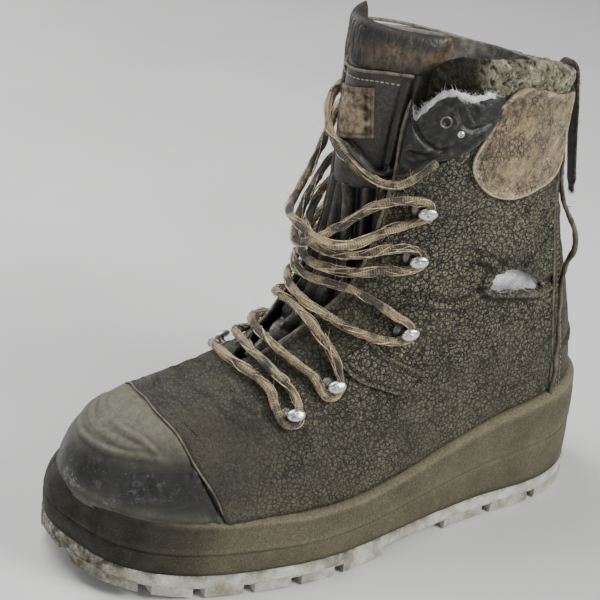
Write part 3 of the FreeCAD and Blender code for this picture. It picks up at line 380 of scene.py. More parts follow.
class Mat:
    """Small helper round one node material; every number is in metres or per metre."""

    def __init__(self, name, rough=0.7, metal=0.0, sheen=0.0, spec=0.5, coat=0.0):
        self.m = bpy.data.materials.new(name)
        self.m.use_nodes = True
        self.t = self.m.node_tree
        self.b = self.t.nodes["Principled BSDF"]
        self.b.inputs["Roughness"].default_value = rough
        self.b.inputs["Metallic"].default_value = metal
        self.b.inputs["Sheen Weight"].default_value = sheen
        self.b.inputs["Specular IOR Level"].default_value = spec
        self.b.inputs["Coat Weight"].default_value = coat
        self.co = self.t.nodes.new("ShaderNodeTexCoord").outputs["Object"]

    def put(self, sock, v):
        if isinstance(v, bpy.types.NodeSocket):
            self.t.links.new(v, sock)
        elif v is not None:
            sock.default_value = v

    def noise(self, scale, detail=4.0, rough=0.55, dist=0.0, co=None):
        n = self.t.nodes.new("ShaderNodeTexNoise")
        self.put(n.inputs["Vector"], co or self.co)
        n.inputs["Scale"].default_value = scale
        n.inputs["Detail"].default_value = detail
        n.inputs["Roughness"].default_value = rough
        n.inputs["Distortion"].default_value = dist
        return n.outputs["Fac"]

    def cells(self, scale, feature="DISTANCE_TO_EDGE", co=None, rand=1.0):
        n = self.t.nodes.new("ShaderNodeTexVoronoi")
        n.feature = feature
        self.put(n.inputs["Vector"], co or self.co)
        n.inputs["Scale"].default_value = scale
        n.inputs["Randomness"].default_value = rand
        return n.outputs["Distance"]

    def wave(self, scale, direction="Z", dist=0.0, co=None):
        n = self.t.nodes.new("ShaderNodeTexWave")
        n.bands_direction = direction
        self.put(n.inputs["Vector"], co or self.co)
        n.inputs["Scale"].default_value = scale
        n.inputs["Distortion"].default_value = dist
        return n.outputs["Fac"]

    def attr(self, name):
        n = self.t.nodes.new("ShaderNodeAttribute")
        n.attribute_name = name
        return n.outputs["Fac"]

    def combine(self, x, y, z):
        n = self.t.nodes.new("ShaderNodeCombineXYZ")
        for s, v in zip(n.inputs, (x, y, z)):
            self.put(s, v)
        return n.outputs[0]

    def math(self, op, a, b=None, c=None, clamp=False):
        n = self.t.nodes.new("ShaderNodeMath")
        n.operation = op
        n.use_clamp = clamp
        for s, v in zip(n.inputs, (a, b, c)):
            self.put(s, v)
        return n.outputs[0]

    def span(self, v, lo, hi, a=0.0, b=1.0):
        n = self.t.nodes.new("ShaderNodeMapRange")
        n.interpolation_type = "SMOOTHSTEP"
        for s, x in zip(n.inputs, (v, lo, hi, a, b)):
            self.put(s, x)
        return n.outputs[0]

    def mix(self, f, a, b, blend="MIX"):
        n = self.t.nodes.new("ShaderNodeMix")
        n.data_type = "RGBA"
        n.blend_type = blend
        self.put(n.inputs["Factor"], f)
        self.put([s for s in n.inputs if s.name == "A" and s.type == "RGBA"][0], a)
        self.put([s for s in n.inputs if s.name == "B" and s.type == "RGBA"][0], b)
        return [s for s in n.outputs if s.type == "RGBA"][0]

    def bump(self, h, distance, strength=1.0, normal=None):
        n = self.t.nodes.new("ShaderNodeBump")
        n.inputs["Strength"].default_value = strength
        n.inputs["Distance"].default_value = distance
        self.put(n.inputs["Height"], h)
        if normal is not None:
            self.put(n.inputs["Normal"], normal)
        return n.outputs[0]

    def out(self, colour=None, rough=None, normal=None):
        self.put(self.b.inputs["Base Color"], colour)
        self.put(self.b.inputs["Roughness"], rough)
        if normal is not None:
            self.put(self.b.inputs["Normal"], normal)
        return self.m


def leather_grain(name, dark, mid, light, dust, tint=0.0):
    m = Mat(name, rough=0.6, spec=0.45)
    warp = m.t.nodes.new("ShaderNodeVectorMath")
    warp.operation = "MULTIPLY_ADD"
    nz = m.t.nodes.new("ShaderNodeTexNoise")
    nz.inputs["Scale"].default_value = 420
    nz.inputs["Detail"].default_value = 3
    m.t.links.new(m.co, nz.inputs["Vector"])
    m.t.links.new(nz.outputs["Color"], warp.inputs[0])
    warp.inputs[1].default_value = (0.0022, 0.0022, 0.0022)
    m.t.links.new(m.co, warp.inputs[2])
    wc = warp.outputs[0]
    c1 = m.cells(390, co=wc)
    c2 = m.cells(900, co=wc)
    big = m.noise(24, 5, 0.6)
    fine = m.noise(2200, 3, 0.65)
    grain = m.math("SUBTRACT", 1.0, m.attr("smooth"))
    zone = m.span(m.noise(60, 3), 0.34, 0.56)
    crack = m.math("MULTIPLY", m.math("SUBTRACT", 1.0, m.span(c1, 0.0, 0.12)), zone)
    crack2 = m.math("SUBTRACT", 1.0, m.span(c2, 0.0, 0.17))
    both = m.math("MAXIMUM", m.math("MULTIPLY", crack, grain), m.math("MULTIPLY", crack2, m.math("ADD", m.math("MULTIPLY", grain, 0.45), 0.2)))
    col = m.mix(m.span(big, 0.3, 0.7), dark, mid)
    col = m.mix(m.math("MULTIPLY", m.span(m.noise(110, 6, 0.72), 0.42, 0.8), 0.13), col, light)
    # painted highlight: the raised faces of the grain cells made lighter where the leather is grained
    col = m.mix(m.math("MULTIPLY", m.math("MULTIPLY", m.span(c1, 0.03, 0.2), grain), m.span(m.noise(22, 5, 0.7), 0.3, 0.7, 0.4, 0.95)), col, light)
    col = m.mix(m.math("MULTIPLY", m.attr("dust"), m.span(m.noise(700, 5, 0.75), 0.3, 0.8, 0.05, 0.75)), col, dust)
    col = m.mix(m.math("MULTIPLY", m.attr("wear"), m.span(m.noise(420, 6, 0.75), 0.34, 0.62)), col, rgb(150, 142, 116))
    col = m.mix(m.math("MULTIPLY", both, 0.86), col, rgb(14, 13, 10))
    # painted shade: creases, grooves, joints and the undersides of lips darkened by the crease_shade mask
    col = m.mix(m.attr("crease_shade"), col, rgb(12, 11, 9))
    # painted glints: fine light speckles on the raised grain
    col = m.mix(m.math("MULTIPLY", m.span(fine, 0.57, 0.74), 0.34), col, rgb(138, 130, 106))
    h = m.math("ADD", m.math("MULTIPLY", both, -1.0), m.math("MULTIPLY", m.noise(620, 5, 0.62), 0.6))
    nrm = m.bump(h, 0.0019, 1.0)
    nrm = m.bump(fine, 0.00016, 0.6, nrm)
    rough = m.span(m.math("ADD", m.noise(150, 5, 0.65), m.math("MULTIPLY", m.attr("dust"), 0.35)), 0.3, 0.9, 0.38, 0.74)
    return m.out(col, rough, nrm)


def leather_smooth(name, dark, mid, light, wear, rough=(0.36, 0.62), fine_scale=1500):
    m = Mat(name, spec=0.5)
    big = m.noise(34, 5, 0.6)
    col = m.mix(m.span(big, 0.3, 0.72), dark, mid)
    col = m.mix(m.math("MULTIPLY", m.span(m.noise(150, 6, 0.7), 0.52, 0.75), 0.5), col, light)
    col = m.mix(m.math("MULTIPLY", m.attr("wear"), m.span(m.noise(260, 6, 0.72), 0.3, 0.6)), col, wear)
    col = m.mix(m.math("MULTIPLY", m.attr("dust"), m.span(m.noise(600, 5, 0.75), 0.36, 0.66)), col, rgb(126, 120, 100))
    # painted shade in creases, seam grooves, wrinkles and the eyelet hole
    col = m.mix(m.attr("crease_shade"), col, rgb(14, 13, 11))
    pores = m.cells(fine_scale, "F1")
    wr = m.noise(160, 6, 0.62, 0.6)
    nrm = m.bump(wr, 0.0009, 0.45)
    nrm = m.bump(pores, 0.00018, 0.5, nrm)
    return m.out(col, m.span(m.noise(90, 5, 0.6), 0.3, 0.7, rough[0], rough[1]), nrm)


def toe_rubber():
    m = Mat("toe_rubber", spec=0.5)
    big = m.noise(26, 5, 0.6)
    col = m.mix(m.span(big, 0.3, 0.7), rgb(13, 13, 13), rgb(27, 27, 26))
    col = m.mix(m.math("MULTIPLY", m.attr("dust"), m.span(m.noise(260, 7, 0.75), 0.15, 0.85, 0.3, 0.95)), col, rgb(116, 114, 96))
    s = m.math("MULTIPLY", m.attr("scuff"), m.span(m.noise(130, 9, 0.85), 0.5, 0.68))
    col = m.mix(s, col, rgb(168, 167, 176))
    stretched = m.t.nodes.new("ShaderNodeMapping")
    m.t.links.new(m.co, stretched.inputs["Vector"])
    stretched.inputs["Scale"].default_value = (1.0, 0.16, 1.0)
    stretched.inputs["Rotation"].default_value = (0.2, 0.1, 0.5)
    sc = m.noise(900, 3, 0.6, 0.4, stretched.outputs[0])
    col = m.mix(m.math("MULTIPLY", m.span(sc, 0.66, 0.74), 0.4), col, rgb(150, 150, 144))
    # painted shade beside the ridges, in the recess frames and along the foot of the cap
    col = m.mix(m.attr("crease_shade"), col, rgb(14, 14, 12))
    fine = m.noise(1800, 4, 0.7)
    nrm = m.bump(m.noise(330, 6, 0.65), 0.0005, 0.5)
    nrm = m.bump(sc, 0.00025, 0.5, nrm)
    nrm = m.bump(fine, 0.0001, 0.5, nrm)
    return m.out(col, m.span(m.math("ADD", m.noise(60, 5, 0.6), m.math("MULTIPLY", m.attr("dust"), 0.35)), 0.3, 0.95, 0.33, 0.75), nrm)


def sole_rubber():
    m = Mat("midsole_rubber", spec=0.4)
    big = m.noise(22, 5, 0.6)
    col = m.mix(m.span(big, 0.3, 0.7), rgb(26, 25, 19), rgb(50, 47, 36))
    speck = m.span(m.noise(1500, 3, 0.65), 0.57, 0.68)
    col = m.mix(m.math("MULTIPLY", speck, 0.6), col, rgb(128, 120, 94))
    col = m.mix(m.math("MULTIPLY", m.attr("dust"), m.span(m.noise(900, 5, 0.75), 0.25, 0.8, 0.25, 0.95)), col, rgb(134, 127, 100))
    # painted shade in the groove line and at the foot of the wall; the toe end is painted darker as well
    col = m.mix(m.attr("crease_shade"), col, rgb(18, 16, 12))
    nrm = m.bump(m.noise(1300, 4, 0.7), 0.0004, 0.7)
    nrm = m.bump(m.noise(140, 6, 0.6), 0.0010, 0.4, nrm)
    return m.out(col, m.span(m.noise(120, 4), 0.3, 0.7, 0.6, 0.88), nrm)


def tread_rubber():
    m = Mat("outsole_rubber", spec=0.4)
    n1 = m.noise(70, 7, 0.68)
    col = m.mix(m.span(n1, 0.35, 0.7), rgb(214, 212, 202), rgb(170, 164, 146))
    dirt = m.math("MULTIPLY", m.attr("dirt"), m.span(m.noise(190, 7, 0.72), 0.2, 0.6))
    col = m.mix(dirt, col, rgb(62, 54, 40))
    col = m.mix(m.math("MULTIPLY", m.span(m.noise(900, 4, 0.7), 0.56, 0.7), 0.7), col, rgb(84, 74, 56))
    nrm = m.bump(m.noise(600, 6, 0.7), 0.0007, 0.7)
    nrm = m.bump(m.noise(160, 5, 0.6), 0.0015, 0.5, nrm)
    return m.out(col, m.span(n1, 0.3, 0.7, 0.55, 0.85), nrm)


def suede():
    m = Mat("suede", rough=0.9, sheen=0.25, spec=0.25)
    n1 = m.noise(60, 6, 0.7)
    col = m.mix(m.span(n1, 0.3, 0.7), rgb(124, 104, 70), rgb(182, 160, 116))
    col = m.mix(m.math("MULTIPLY", m.attr("wear"), m.span(m.noise(240, 7, 0.8), 0.32, 0.66)), col, rgb(226, 208, 166))
    spots = m.math("MULTIPLY", m.attr("dust"), m.span(m.noise(210, 8, 0.82), 0.4, 0.6))
    col = m.mix(spots, col, rgb(58, 53, 41))
    c1 = m.cells(420)
    crack = m.math("MULTIPLY", m.math("SUBTRACT", 1.0, m.span(c1, 0.0, 0.16)), m.span(m.noise(70, 3), 0.4, 0.6))
    col = m.mix(m.math("MULTIPLY", crack, 0.75), col, rgb(34, 29, 21))
    nap = m.noise(2600, 4, 0.75)
    col = m.mix(m.math("MULTIPLY", m.span(nap, 0.4, 0.7), 0.3), col, rgb(66, 50, 32))
    nrm = m.bump(nap, 0.0004, 0.8)
    nrm = m.bump(m.math("SUBTRACT", m.noise(240, 7, 0.75), m.math("MULTIPLY", crack, 0.5)), 0.0022, 0.9, nrm)
    return m.out(col, None, nrm)


def knit(name, a, b, dirty, rough=0.95, scale=900):
    m = Mat(name, rough=rough, sheen=0.4, spec=0.2)
    sep = m.t.nodes.new("ShaderNodeSeparateXYZ")
    m.t.links.new(m.co, sep.inputs[0])
    ang = m.math("ARCTAN2", sep.outputs[0], m.math("ADD", sep.outputs[1], -0.045))
    u = m.math("SINE", m.math("MULTIPLY", ang, 150.0))
    w = m.math("SINE", m.math("MULTIPLY", sep.outputs[2], scale * 4.0))
    stitch = m.math("MULTIPLY", u, w)
    fuzz = m.noise(2200, 4, 0.75)
    col = m.mix(m.span(m.noise(40, 5, 0.65), 0.3, 0.7), a, b)
    col = m.mix(m.math("MULTIPLY", m.span(stitch, -0.4, 0.7), 0.05), col, rgb(60, 58, 52))
    col = m.mix(m.math("MULTIPLY", m.attr("dust"), m.span(m.noise(180, 6, 0.7), 0.3, 0.62)), col, dirty)
    nrm = m.bump(stitch, 0.0003, 0.5)
    nrm = m.bump(fuzz, 0.0004, 0.7, nrm)
    return m.out(col, None, nrm)


def foam_mat():
    m = Mat("foam", rough=0.95, spec=0.2)
    pores = m.cells(700, "F1")
    col = m.mix(m.span(m.noise(70, 6, 0.7), 0.32, 0.68), rgb(72, 70, 56), rgb(154, 150, 126))
    col = m.mix(m.math("MULTIPLY", m.span(m.noise(260, 6, 0.75), 0.5, 0.68), 0.7), col, rgb(208, 204, 184))
    col = m.mix(m.math("MULTIPLY", m.math("SUBTRACT", 1.0, m.span(pores, 0.05, 0.3)), 0.8), col, rgb(30, 29, 22))
    # painted shade in the dips of the torn foam and over its front end under the flap
    col = m.mix(m.attr("crease_shade"), col, rgb(24, 22, 17))
    nrm = m.bump(pores, 0.0009, 0.9)
    nrm = m.bump(m.noise(420, 6, 0.75), 0.0014, 0.8, nrm)
    return m.out(col, None, nrm)


def fleece():
    m = Mat("insulation", rough=0.95, sheen=0.5, spec=0.2)
    n = m.noise(900, 7, 0.8, 1.2)
    col = m.mix(m.span(n, 0.35, 0.65), rgb(150, 148, 138), rgb(226, 226, 220))
    col = m.mix(m.math("MULTIPLY", m.attr("dust"), m.span(m.noise(260, 5, 0.7), 0.36, 0.6)), col, rgb(84, 76, 58))
    nrm = m.bump(n, 0.0012, 0.8)
    return m.out(col, None, nrm)


def webbing():
    m = Mat("webbing", rough=0.9, sheen=0.25, spec=0.25)
    w = m.math("MULTIPLY", m.wave(420, "Z", 0.3), m.wave(420, "X", 0.3))
    col = m.mix(m.span(m.noise(90, 6, 0.7), 0.3, 0.7), rgb(24, 23, 20), rgb(56, 53, 45))
    col = m.mix(m.math("MULTIPLY", m.attr("wear"), m.span(m.noise(500, 5, 0.7), 0.4, 0.66)), col, rgb(112, 104, 84))
    col = m.mix(m.math("MULTIPLY", m.span(m.noise(1800, 3, 0.7), 0.58, 0.7), 0.5), col, rgb(110, 104, 88))
    nrm = m.bump(w, 0.0004, 0.8)
    nrm = m.bump(m.noise(1100, 5, 0.75), 0.0006, 0.8, nrm)
    return m.out(col, None, nrm)


def lace_mats():
    m = Mat("lace_cord", rough=0.88, sheen=0.25, spec=0.25)
    braid = m.math("MULTIPLY", m.math("SINE", m.attr("warp")), m.math("SINE", m.attr("weft")))
    fib = m.noise(2600, 5, 0.8)
    patch = m.span(m.noise(85, 4, 0.6), 0.42, 0.6)
    col = m.mix(m.span(fib, 0.3, 0.7), rgb(40, 38, 33), rgb(92, 87, 76))
    tan = m.mix(m.span(fib, 0.3, 0.72), rgb(126, 108, 80), rgb(214, 194, 154))
    col = m.mix(m.math("MAXIMUM", patch, m.attr("fray")), col, tan)
    col = m.mix(m.math("MULTIPLY", m.span(braid, -0.8, 0.2, 1.0, 0.0), 0.24), col, rgb(44, 36, 26))
    nrm = m.bump(braid, 0.0006, 0.8)
    nrm = m.bump(fib, 0.0003, 0.8, nrm)
    cord = m.out(col, None, nrm)
    f = Mat("lace_fibre", rough=0.85, sheen=0.4, spec=0.25)
    n = f.noise(260, 4, 0.7)
    c = f.mix(f.span(n, 0.32, 0.68), rgb(132, 108, 74), rgb(220, 202, 164))
    c = f.mix(f.math("MULTIPLY", f.span(f.noise(1400, 3, 0.7), 0.5, 0.68), 0.4), c, rgb(72, 54, 34))
    fibre = f.out(c, None, f.bump(f.noise(3200, 3, 0.7), 0.0002, 0.6))
    return cord, fibre


def metal(name, a, b, rough=(0.22, 0.5)):
    m = Mat(name, metal=1.0)
    n = m.noise(420, 6, 0.7)
    col = m.mix(m.span(n, 0.3, 0.7), a, b)
    col = m.mix(m.math("MULTIPLY", m.span(m.noise(900, 5, 0.75), 0.55, 0.7), 0.5), col, rgb(70, 60, 46))
    sc = m.noise(2600, 3, 0.6, 2.0)
    return m.out(col, m.span(n, 0.3, 0.72, rough[0], rough[1]), m.bump(sc, 0.0001, 0.4, m.bump(m.noise(700, 4), 0.0002, 0.35)))


def label_mat():
    m = Mat("label", rough=0.85, spec=0.3)
    w = m.math("MULTIPLY", m.wave(800, "X"), m.wave(800, "Z"))
    col = m.mix(m.span(m.noise(150, 6, 0.7), 0.34, 0.66), rgb(80, 69, 54), rgb(166, 151, 124))
    # painted shade in the dented holes and along the edges
    col = m.mix(m.math("MULTIPLY", m.attr("crease_shade"), 0.92), col, rgb(26, 22, 18))
    col = m.mix(m.math("MULTIPLY", m.span(m.noise(380, 6, 0.75), 0.52, 0.66), 0.75), col, rgb(56, 48, 38))
    return m.out(col, None, m.bump(w, 0.0003, 0.6, m.bump(m.noise(800, 5, 0.7), 0.0004, 0.6)))


def thread_mat(name, a, b):
    m = Mat(name, rough=0.85, sheen=0.2, spec=0.3)
    col = m.mix(m.span(m.noise(900, 4, 0.7), 0.35, 0.65), a, b)
    return m.out(col, None, m.bump(m.wave(1800, "Y", 2.0), 0.0002, 0.6))


OLIVE_D, OLIVE_M, OLIVE_L, DUST = rgb(32, 31, 25), rgb(50, 48, 39), rgb(150, 147, 120), rgb(124, 118, 94)
M_BODY = leather_grain("grain_leather", OLIVE_D, OLIVE_M, OLIVE_L, DUST)
M_STAY = leather_grain("backstay_leather", rgb(48, 46, 37), rgb(80, 76, 60), rgb(122, 116, 93), rgb(134, 127, 101))
M_SMOOTH = leather_smooth("smooth_leather", rgb(9, 9, 9), rgb(19, 19, 18), rgb(36, 35, 33), rgb(112, 107, 94), (0.3, 0.55))
M_TONGUE = leather_smooth("tongue_leather", rgb(20, 20, 19), rgb(40, 39, 37), rgb(66, 64, 60), rgb(104, 99, 88), (0.3, 0.56))
M_ROLL = leather_smooth("roll_leather", rgb(24, 23, 21), rgb(48, 45, 40), rgb(82, 77, 68), rgb(104, 86, 65), (0.45, 0.72), 800)
M_PIPE = leather_smooth("piping", rgb(28, 26, 22), rgb(52, 49, 41), rgb(84, 78, 64), rgb(134, 126, 104), (0.42, 0.68))
M_PIPE_TAN = leather_smooth("piping_tan", rgb(84, 72, 52), rgb(122, 108, 82), rgb(154, 140, 112), rgb(190, 176, 146), (0.5, 0.75))
M_PIPE_DARK = leather_smooth("piping_dark", rgb(22, 21, 18), rgb(44, 41, 35), rgb(78, 73, 60), rgb(120, 112, 92), (0.45, 0.7))
M_TOE, M_MID, M_TREAD = toe_rubber(), sole_rubber(), tread_rubber()
M_SUEDE, M_FOAM, M_FLEECE, M_WEB = suede(), foam_mat(), fleece(), webbing()
M_LINING = knit("lining", rgb(104, 102, 93), rgb(150, 147, 136), rgb(44, 41, 34), scale=3400)
# a darker copy of the lining knit, used for the foot and vamp linings further inside
M_LINING_D = knit("lining_dark", rgb(66, 66, 60), rgb(104, 102, 92), rgb(40, 38, 32))
M_TORN = knit("torn_lining", rgb(142, 146, 146), rgb(230, 232, 229), rgb(72, 67, 55))
M_BED = knit("footbed_cloth", rgb(30, 30, 30), rgb(58, 58, 56), rgb(96, 90, 74), scale=500)
M_CORD, M_FIBRE = lace_mats()
M_HOOK = metal("hook_metal", rgb(196, 196, 194), rgb(228, 228, 226))
M_HOOK_D = metal("hook_neck_metal", rgb(90, 88, 82), rgb(140, 138, 132), (0.35, 0.6))
M_STEEL = metal("sole_steel", rgb(140, 142, 146), rgb(176, 178, 182), (0.3, 0.55))
M_LABEL = label_mat()
M_THREAD = thread_mat("thread", rgb(120, 112, 90), rgb(176, 166, 138))
M_THREAD_D = thread_mat("thread_dark", rgb(40, 38, 32), rgb(72, 68, 56))
M_BOARD = thread_mat("board", rgb(120, 98, 70), rgb(158, 136, 102))
M_COUNTER = leather_smooth("counter_board", rgb(40, 40, 40), rgb(62, 62, 60), rgb(84, 84, 80), rgb(120, 118, 110))


def paint(o, *mats):
    o.data.materials.clear()
    for m in mats:
        o.data.materials.append(m)
    return o


def put(o, mat, body="boot", nodes=()):
    paint(o, mat)
    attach(o, body)
    if nodes:
        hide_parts(*nodes)
    return o


# CAD nodes that stay as they are take a better material
def dress(node, mat):
    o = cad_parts[node]
    o.data.materials.clear()
    o.data.materials.append(mat)


for n_, m_ in (("shank", M_STEEL), ("insole_board", M_BOARD), ("insole_warm_layer", M_FLEECE), ("safety_toe", M_STEEL), ("insulation_vamp", M_FLEECE), ("heel_counter", M_COUNTER)):
    dress(n_, m_)

# ------------------------------------------------------------------ the lace, next after the camera
LACE = [
    (-0.04286, -0.03674, 0.08511), (-0.04089, -0.05040, 0.08846), (-0.03583, -0.05686, 0.09466), (-0.02792, -0.06094, 0.10054),
    (-0.01913, -0.06548, 0.10420), (-0.00785, -0.06735, 0.10701), (0.00472, -0.06569, 0.10696), (0.01653, -0.06089, 0.10520),
    (0.02713, -0.05717, 0.10064), (0.03318, -0.05792, 0.09468), (0.04045, -0.05646, 0.08700), (0.04163, -0.04759, 0.08798),
    (0.03253, -0.04609, 0.09960), (0.02420, -0.05126, 0.10547), (0.01258, -0.05532, 0.11031), (0.00000, -0.05750, 0.11314),
    (-0.01241, -0.05580, 0.11242), (-0.02265, -0.05155, 0.10806), (-0.03113, -0.04532, 0.10321), (-0.03974, -0.02383, 0.09745),
    (-0.03728, -0.02039, 0.10539), (-0.03163, -0.03147, 0.10936), (-0.02303, -0.04045, 0.11477), (-0.01212, -0.04845, 0.11811),
    (0.00204, -0.05016, 0.11881), (0.01455, -0.04691, 0.11520), (0.02526, -0.04095, 0.11034), (0.03271, -0.03392, 0.10524),
    (0.03753, -0.03310, 0.09707), (0.03943, -0.02433, 0.09777), (0.03398, -0.02290, 0.11011), (0.02799, -0.02656, 0.11831),
    (0.02002, -0.03028, 0.12696), (0.01025, -0.03462, 0.13366), (-0.00286, -0.03738, 0.13532), (-0.01555, -0.03392, 0.13139),
    (-0.02561, -0.02500, 0.12572), (-0.03300, -0.01425, 0.12034), (-0.03924, 0.00999, 0.12051), (-0.03810, 0.01132, 0.12934),
    (-0.03327, -0.00329, 0.13393), (-0.02558, -0.01674, 0.13888), (-0.01390, -0.02914, 0.14198), (0.00052, -0.03448, 0.14058),
    (0.01313, -0.03115, 0.13616), (0.02440, -0.02133, 0.13132), (0.03401, -0.00777, 0.12382), (0.04019, 0.01254, 0.11967),
    (0.03957, 0.01569, 0.12808), (0.03603, 0.00522, 0.13475), (0.03097, -0.00409, 0.14208), (0.02323, -0.01482, 0.14788),
    (0.01306, -0.02563, 0.14897), (-0.00063, -0.03102, 0.14862), (-0.01361, -0.02603, 0.14902), (-0.02332, -0.01488, 0.15149),
    (-0.02992, -0.00200, 0.15591), (-0.03679, 0.01570, 0.15926), (-0.03609, 0.01478, 0.16818), (-0.03004, 0.00063, 0.16726),
    (-0.02218, -0.01344, 0.16134), (-0.01163, -0.02491, 0.15650), (0.00254, -0.02818, 0.15569), (0.01624, -0.02055, 0.15538),
    (0.02411, -0.01034, 0.15563), (0.02982, 0.00023, 0.15729), (0.03683, 0.01680, 0.15933), (0.03635, 0.01693, 0.16832),
    (0.03030, 0.00348, 0.17009), (0.02424, -0.00783, 0.16527), (0.01627, -0.01842, 0.16269), (0.00250, -0.02583, 0.16342),
    (-0.01164, -0.02152, 0.16811), (-0.02231, -0.01043, 0.17575), (-0.02935, 0.00094, 0.18154), (-0.03685, 0.01615, 0.18393),
    (-0.03698, 0.01621, 0.19293), (-0.03037, 0.00307, 0.19573), (-0.02481, -0.00846, 0.18762), (-0.01878, -0.01988, 0.17600),
    (-0.01167, -0.02831, 0.16623), (-0.00340, -0.03159, 0.16240), (0.00669, -0.02810, 0.16914), (0.01294, -0.02112, 0.17575),
    (0.01852, -0.01292, 0.18414), (0.02490, -0.00404, 0.19278), (0.02999, 0.00438, 0.19534), (0.03674, 0.01770, 0.19472),
    (0.03710, 0.01880, 0.18579), (0.02980, 0.00359, 0.18109), (0.02513, -0.00664, 0.17439), (0.02191, -0.01748, 0.17042),
    (0.01760, -0.02617, 0.17022), (0.00835, -0.03309, 0.17432), (-0.00297, -0.03448, 0.17644), (-0.01282, -0.03166, 0.17617),
    (-0.02065, -0.02566, 0.17675), (-0.02711, -0.01652, 0.18263), (-0.03006, -0.00835, 0.19338), (-0.02991, -0.00322, 0.20599),
    (-0.02824, -0.00044, 0.21802), (-0.03654, 0.01280, 0.22460), (-0.03572, 0.01097, 0.23337), (-0.02775, -0.00100, 0.23316),
    (-0.01977, -0.01014, 0.22989), (-0.00684, -0.01767, 0.22179), (0.00555, -0.01805, 0.21428), (0.01571, -0.01367, 0.20818),
    (0.02453, -0.00769, 0.20426), (0.03021, -0.00331, 0.20367), (0.03446, 0.00175, 0.20538), (0.03782, 0.00801, 0.21083),
    (0.04064, 0.01485, 0.21803),
]


def lace_line():
    cu = bpy.data.curves.new("lace_route", "CURVE")
    cu.dimensions = "3D"
    cu.resolution_u = 9
    sp = cu.splines.new("NURBS")
    sp.points.add(len(LACE) - 1)
    for q, p in zip(sp.points, LACE):
        q.co = (*p, 1.0)
    sp.order_u = 3
    sp.use_endpoint_u = True
    o = bpy.data.objects.new("lace_route", cu)
    bpy.context.scene.collection.objects.link(o)
    bpy.context.view_layer.update()
    me = bpy.data.meshes.new_from_object(o)
    P = np.zeros(len(me.vertices) * 3)
    me.vertices.foreach_get("co", P)
    bpy.data.meshes.remove(me)
    bpy.data.objects.remove(o)
    bpy.data.curves.remove(cu)
    return P.reshape(-1, 3)


LINE = lace_line()


def make_lace():
    P = LINE * 1000.0 - SHIFT
    L = np.r_[0, np.cumsum(np.linalg.norm(np.diff(P, axis=0), axis=1))]
    n = int(L[-1] / 0.85)
    at = np.linspace(0, L[-1], n)
    Q = np.stack([np.interp(at, L, P[:, k]) for k in range(3)], 1)
    sides = 18
    lump = 1 + 0.05 * np.sin(at * 0.55) + 0.05 * np.sin(at * 0.21 + 1.0)

    def prof(i, a):
        s = at[i]
        return 1 + 0.045 * np.sin(4 * a + s * 2.6) * np.sin(4 * a - s * 2.6) + 0.04 * np.sin(2 * a + s * 0.15)

    r = 2.02 * lump
    r[:3] *= [0.55, 0.85, 0.97]
    r[-3:] *= [0.97, 0.85, 0.55]
    ang = np.linspace(0, 2 * math.pi, sides, endpoint=False)
    warp = 4 * ang[None, :] + at[:, None] * 2.6
    weft = 4 * ang[None, :] - at[:, None] * 2.6
    o = tube_object("lace_cord", Q, r, sides=sides, attrs={"warp": warp, "weft": weft}, profile=prof)
    # worn yarns lying along the cord and fibres standing out of it
    r2 = np.random.default_rng(21)
    T = np.gradient(Q, axis=0)
    T /= np.linalg.norm(T, axis=1, keepdims=True)
    ref = np.array([0.3, -0.5, 0.8])
    N = np.cross(T, ref)
    N /= np.maximum(np.linalg.norm(N, axis=1, keepdims=True), 1e-6)
    B = np.cross(T, N)
    parts = []
    for k in range(330):
        i0 = int(r2.integers(3, n - 34))
        m = int(r2.integers(10, 30))
        a0, tw = r2.uniform(0, 6.28), r2.uniform(-0.16, 0.16)
        i = np.arange(i0, i0 + m)
        t = np.linspace(0, 1, m)
        a = a0 + tw * np.arange(m)
        lift = 2.1 + r2.uniform(-0.1, 0.3) + 0.5 * r2.uniform(0, 1) * np.sin(math.pi * t) - 0.5 * (t < 0.05)
        pts = Q[i] + lift[:, None] * (np.cos(a)[:, None] * N[i] + np.sin(a)[:, None] * B[i])
        rad = r2.uniform(0.16, 0.36) * (0.35 + 0.65 * np.sin(math.pi * np.clip(t, 0.03, 0.97)) ** 0.5)
        v, q, tt, att = tube("y", pts, rad, sides=5)
        parts.append((v, q, tt, att))
    for k in range(900):
        i0 = int(r2.integers(3, n - 3))
        m = 6
        a0 = r2.uniform(0, 6.28)
        d = np.cos(a0) * N[i0] + np.sin(a0) * B[i0]
        side = T[i0] * r2.uniform(-1, 1) + np.cross(T[i0], d) * r2.uniform(-0.8, 0.8)
        ln = r2.uniform(1.0, 3.8) * (1.9 if r2.random() < 0.12 else 1)
        t = np.linspace(0, 1, m)
        bend = r2.normal(size=3) * 0.35
        pts = Q[i0] + d * (1.7 + ln * 0.55 * t)[:, None] + side * (ln * t)[:, None] + bend * (t ** 2)[:, None] * ln
        parts.append(tube("f", pts, 0.11 * (1.15 - t), sides=3))
    f = merge("lace_fibres", parts)
    paint(o, M_CORD)
    paint(f, M_FIBRE)
    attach(o, "boot")
    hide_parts("lace")
    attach(f, "boot")


make_lace()


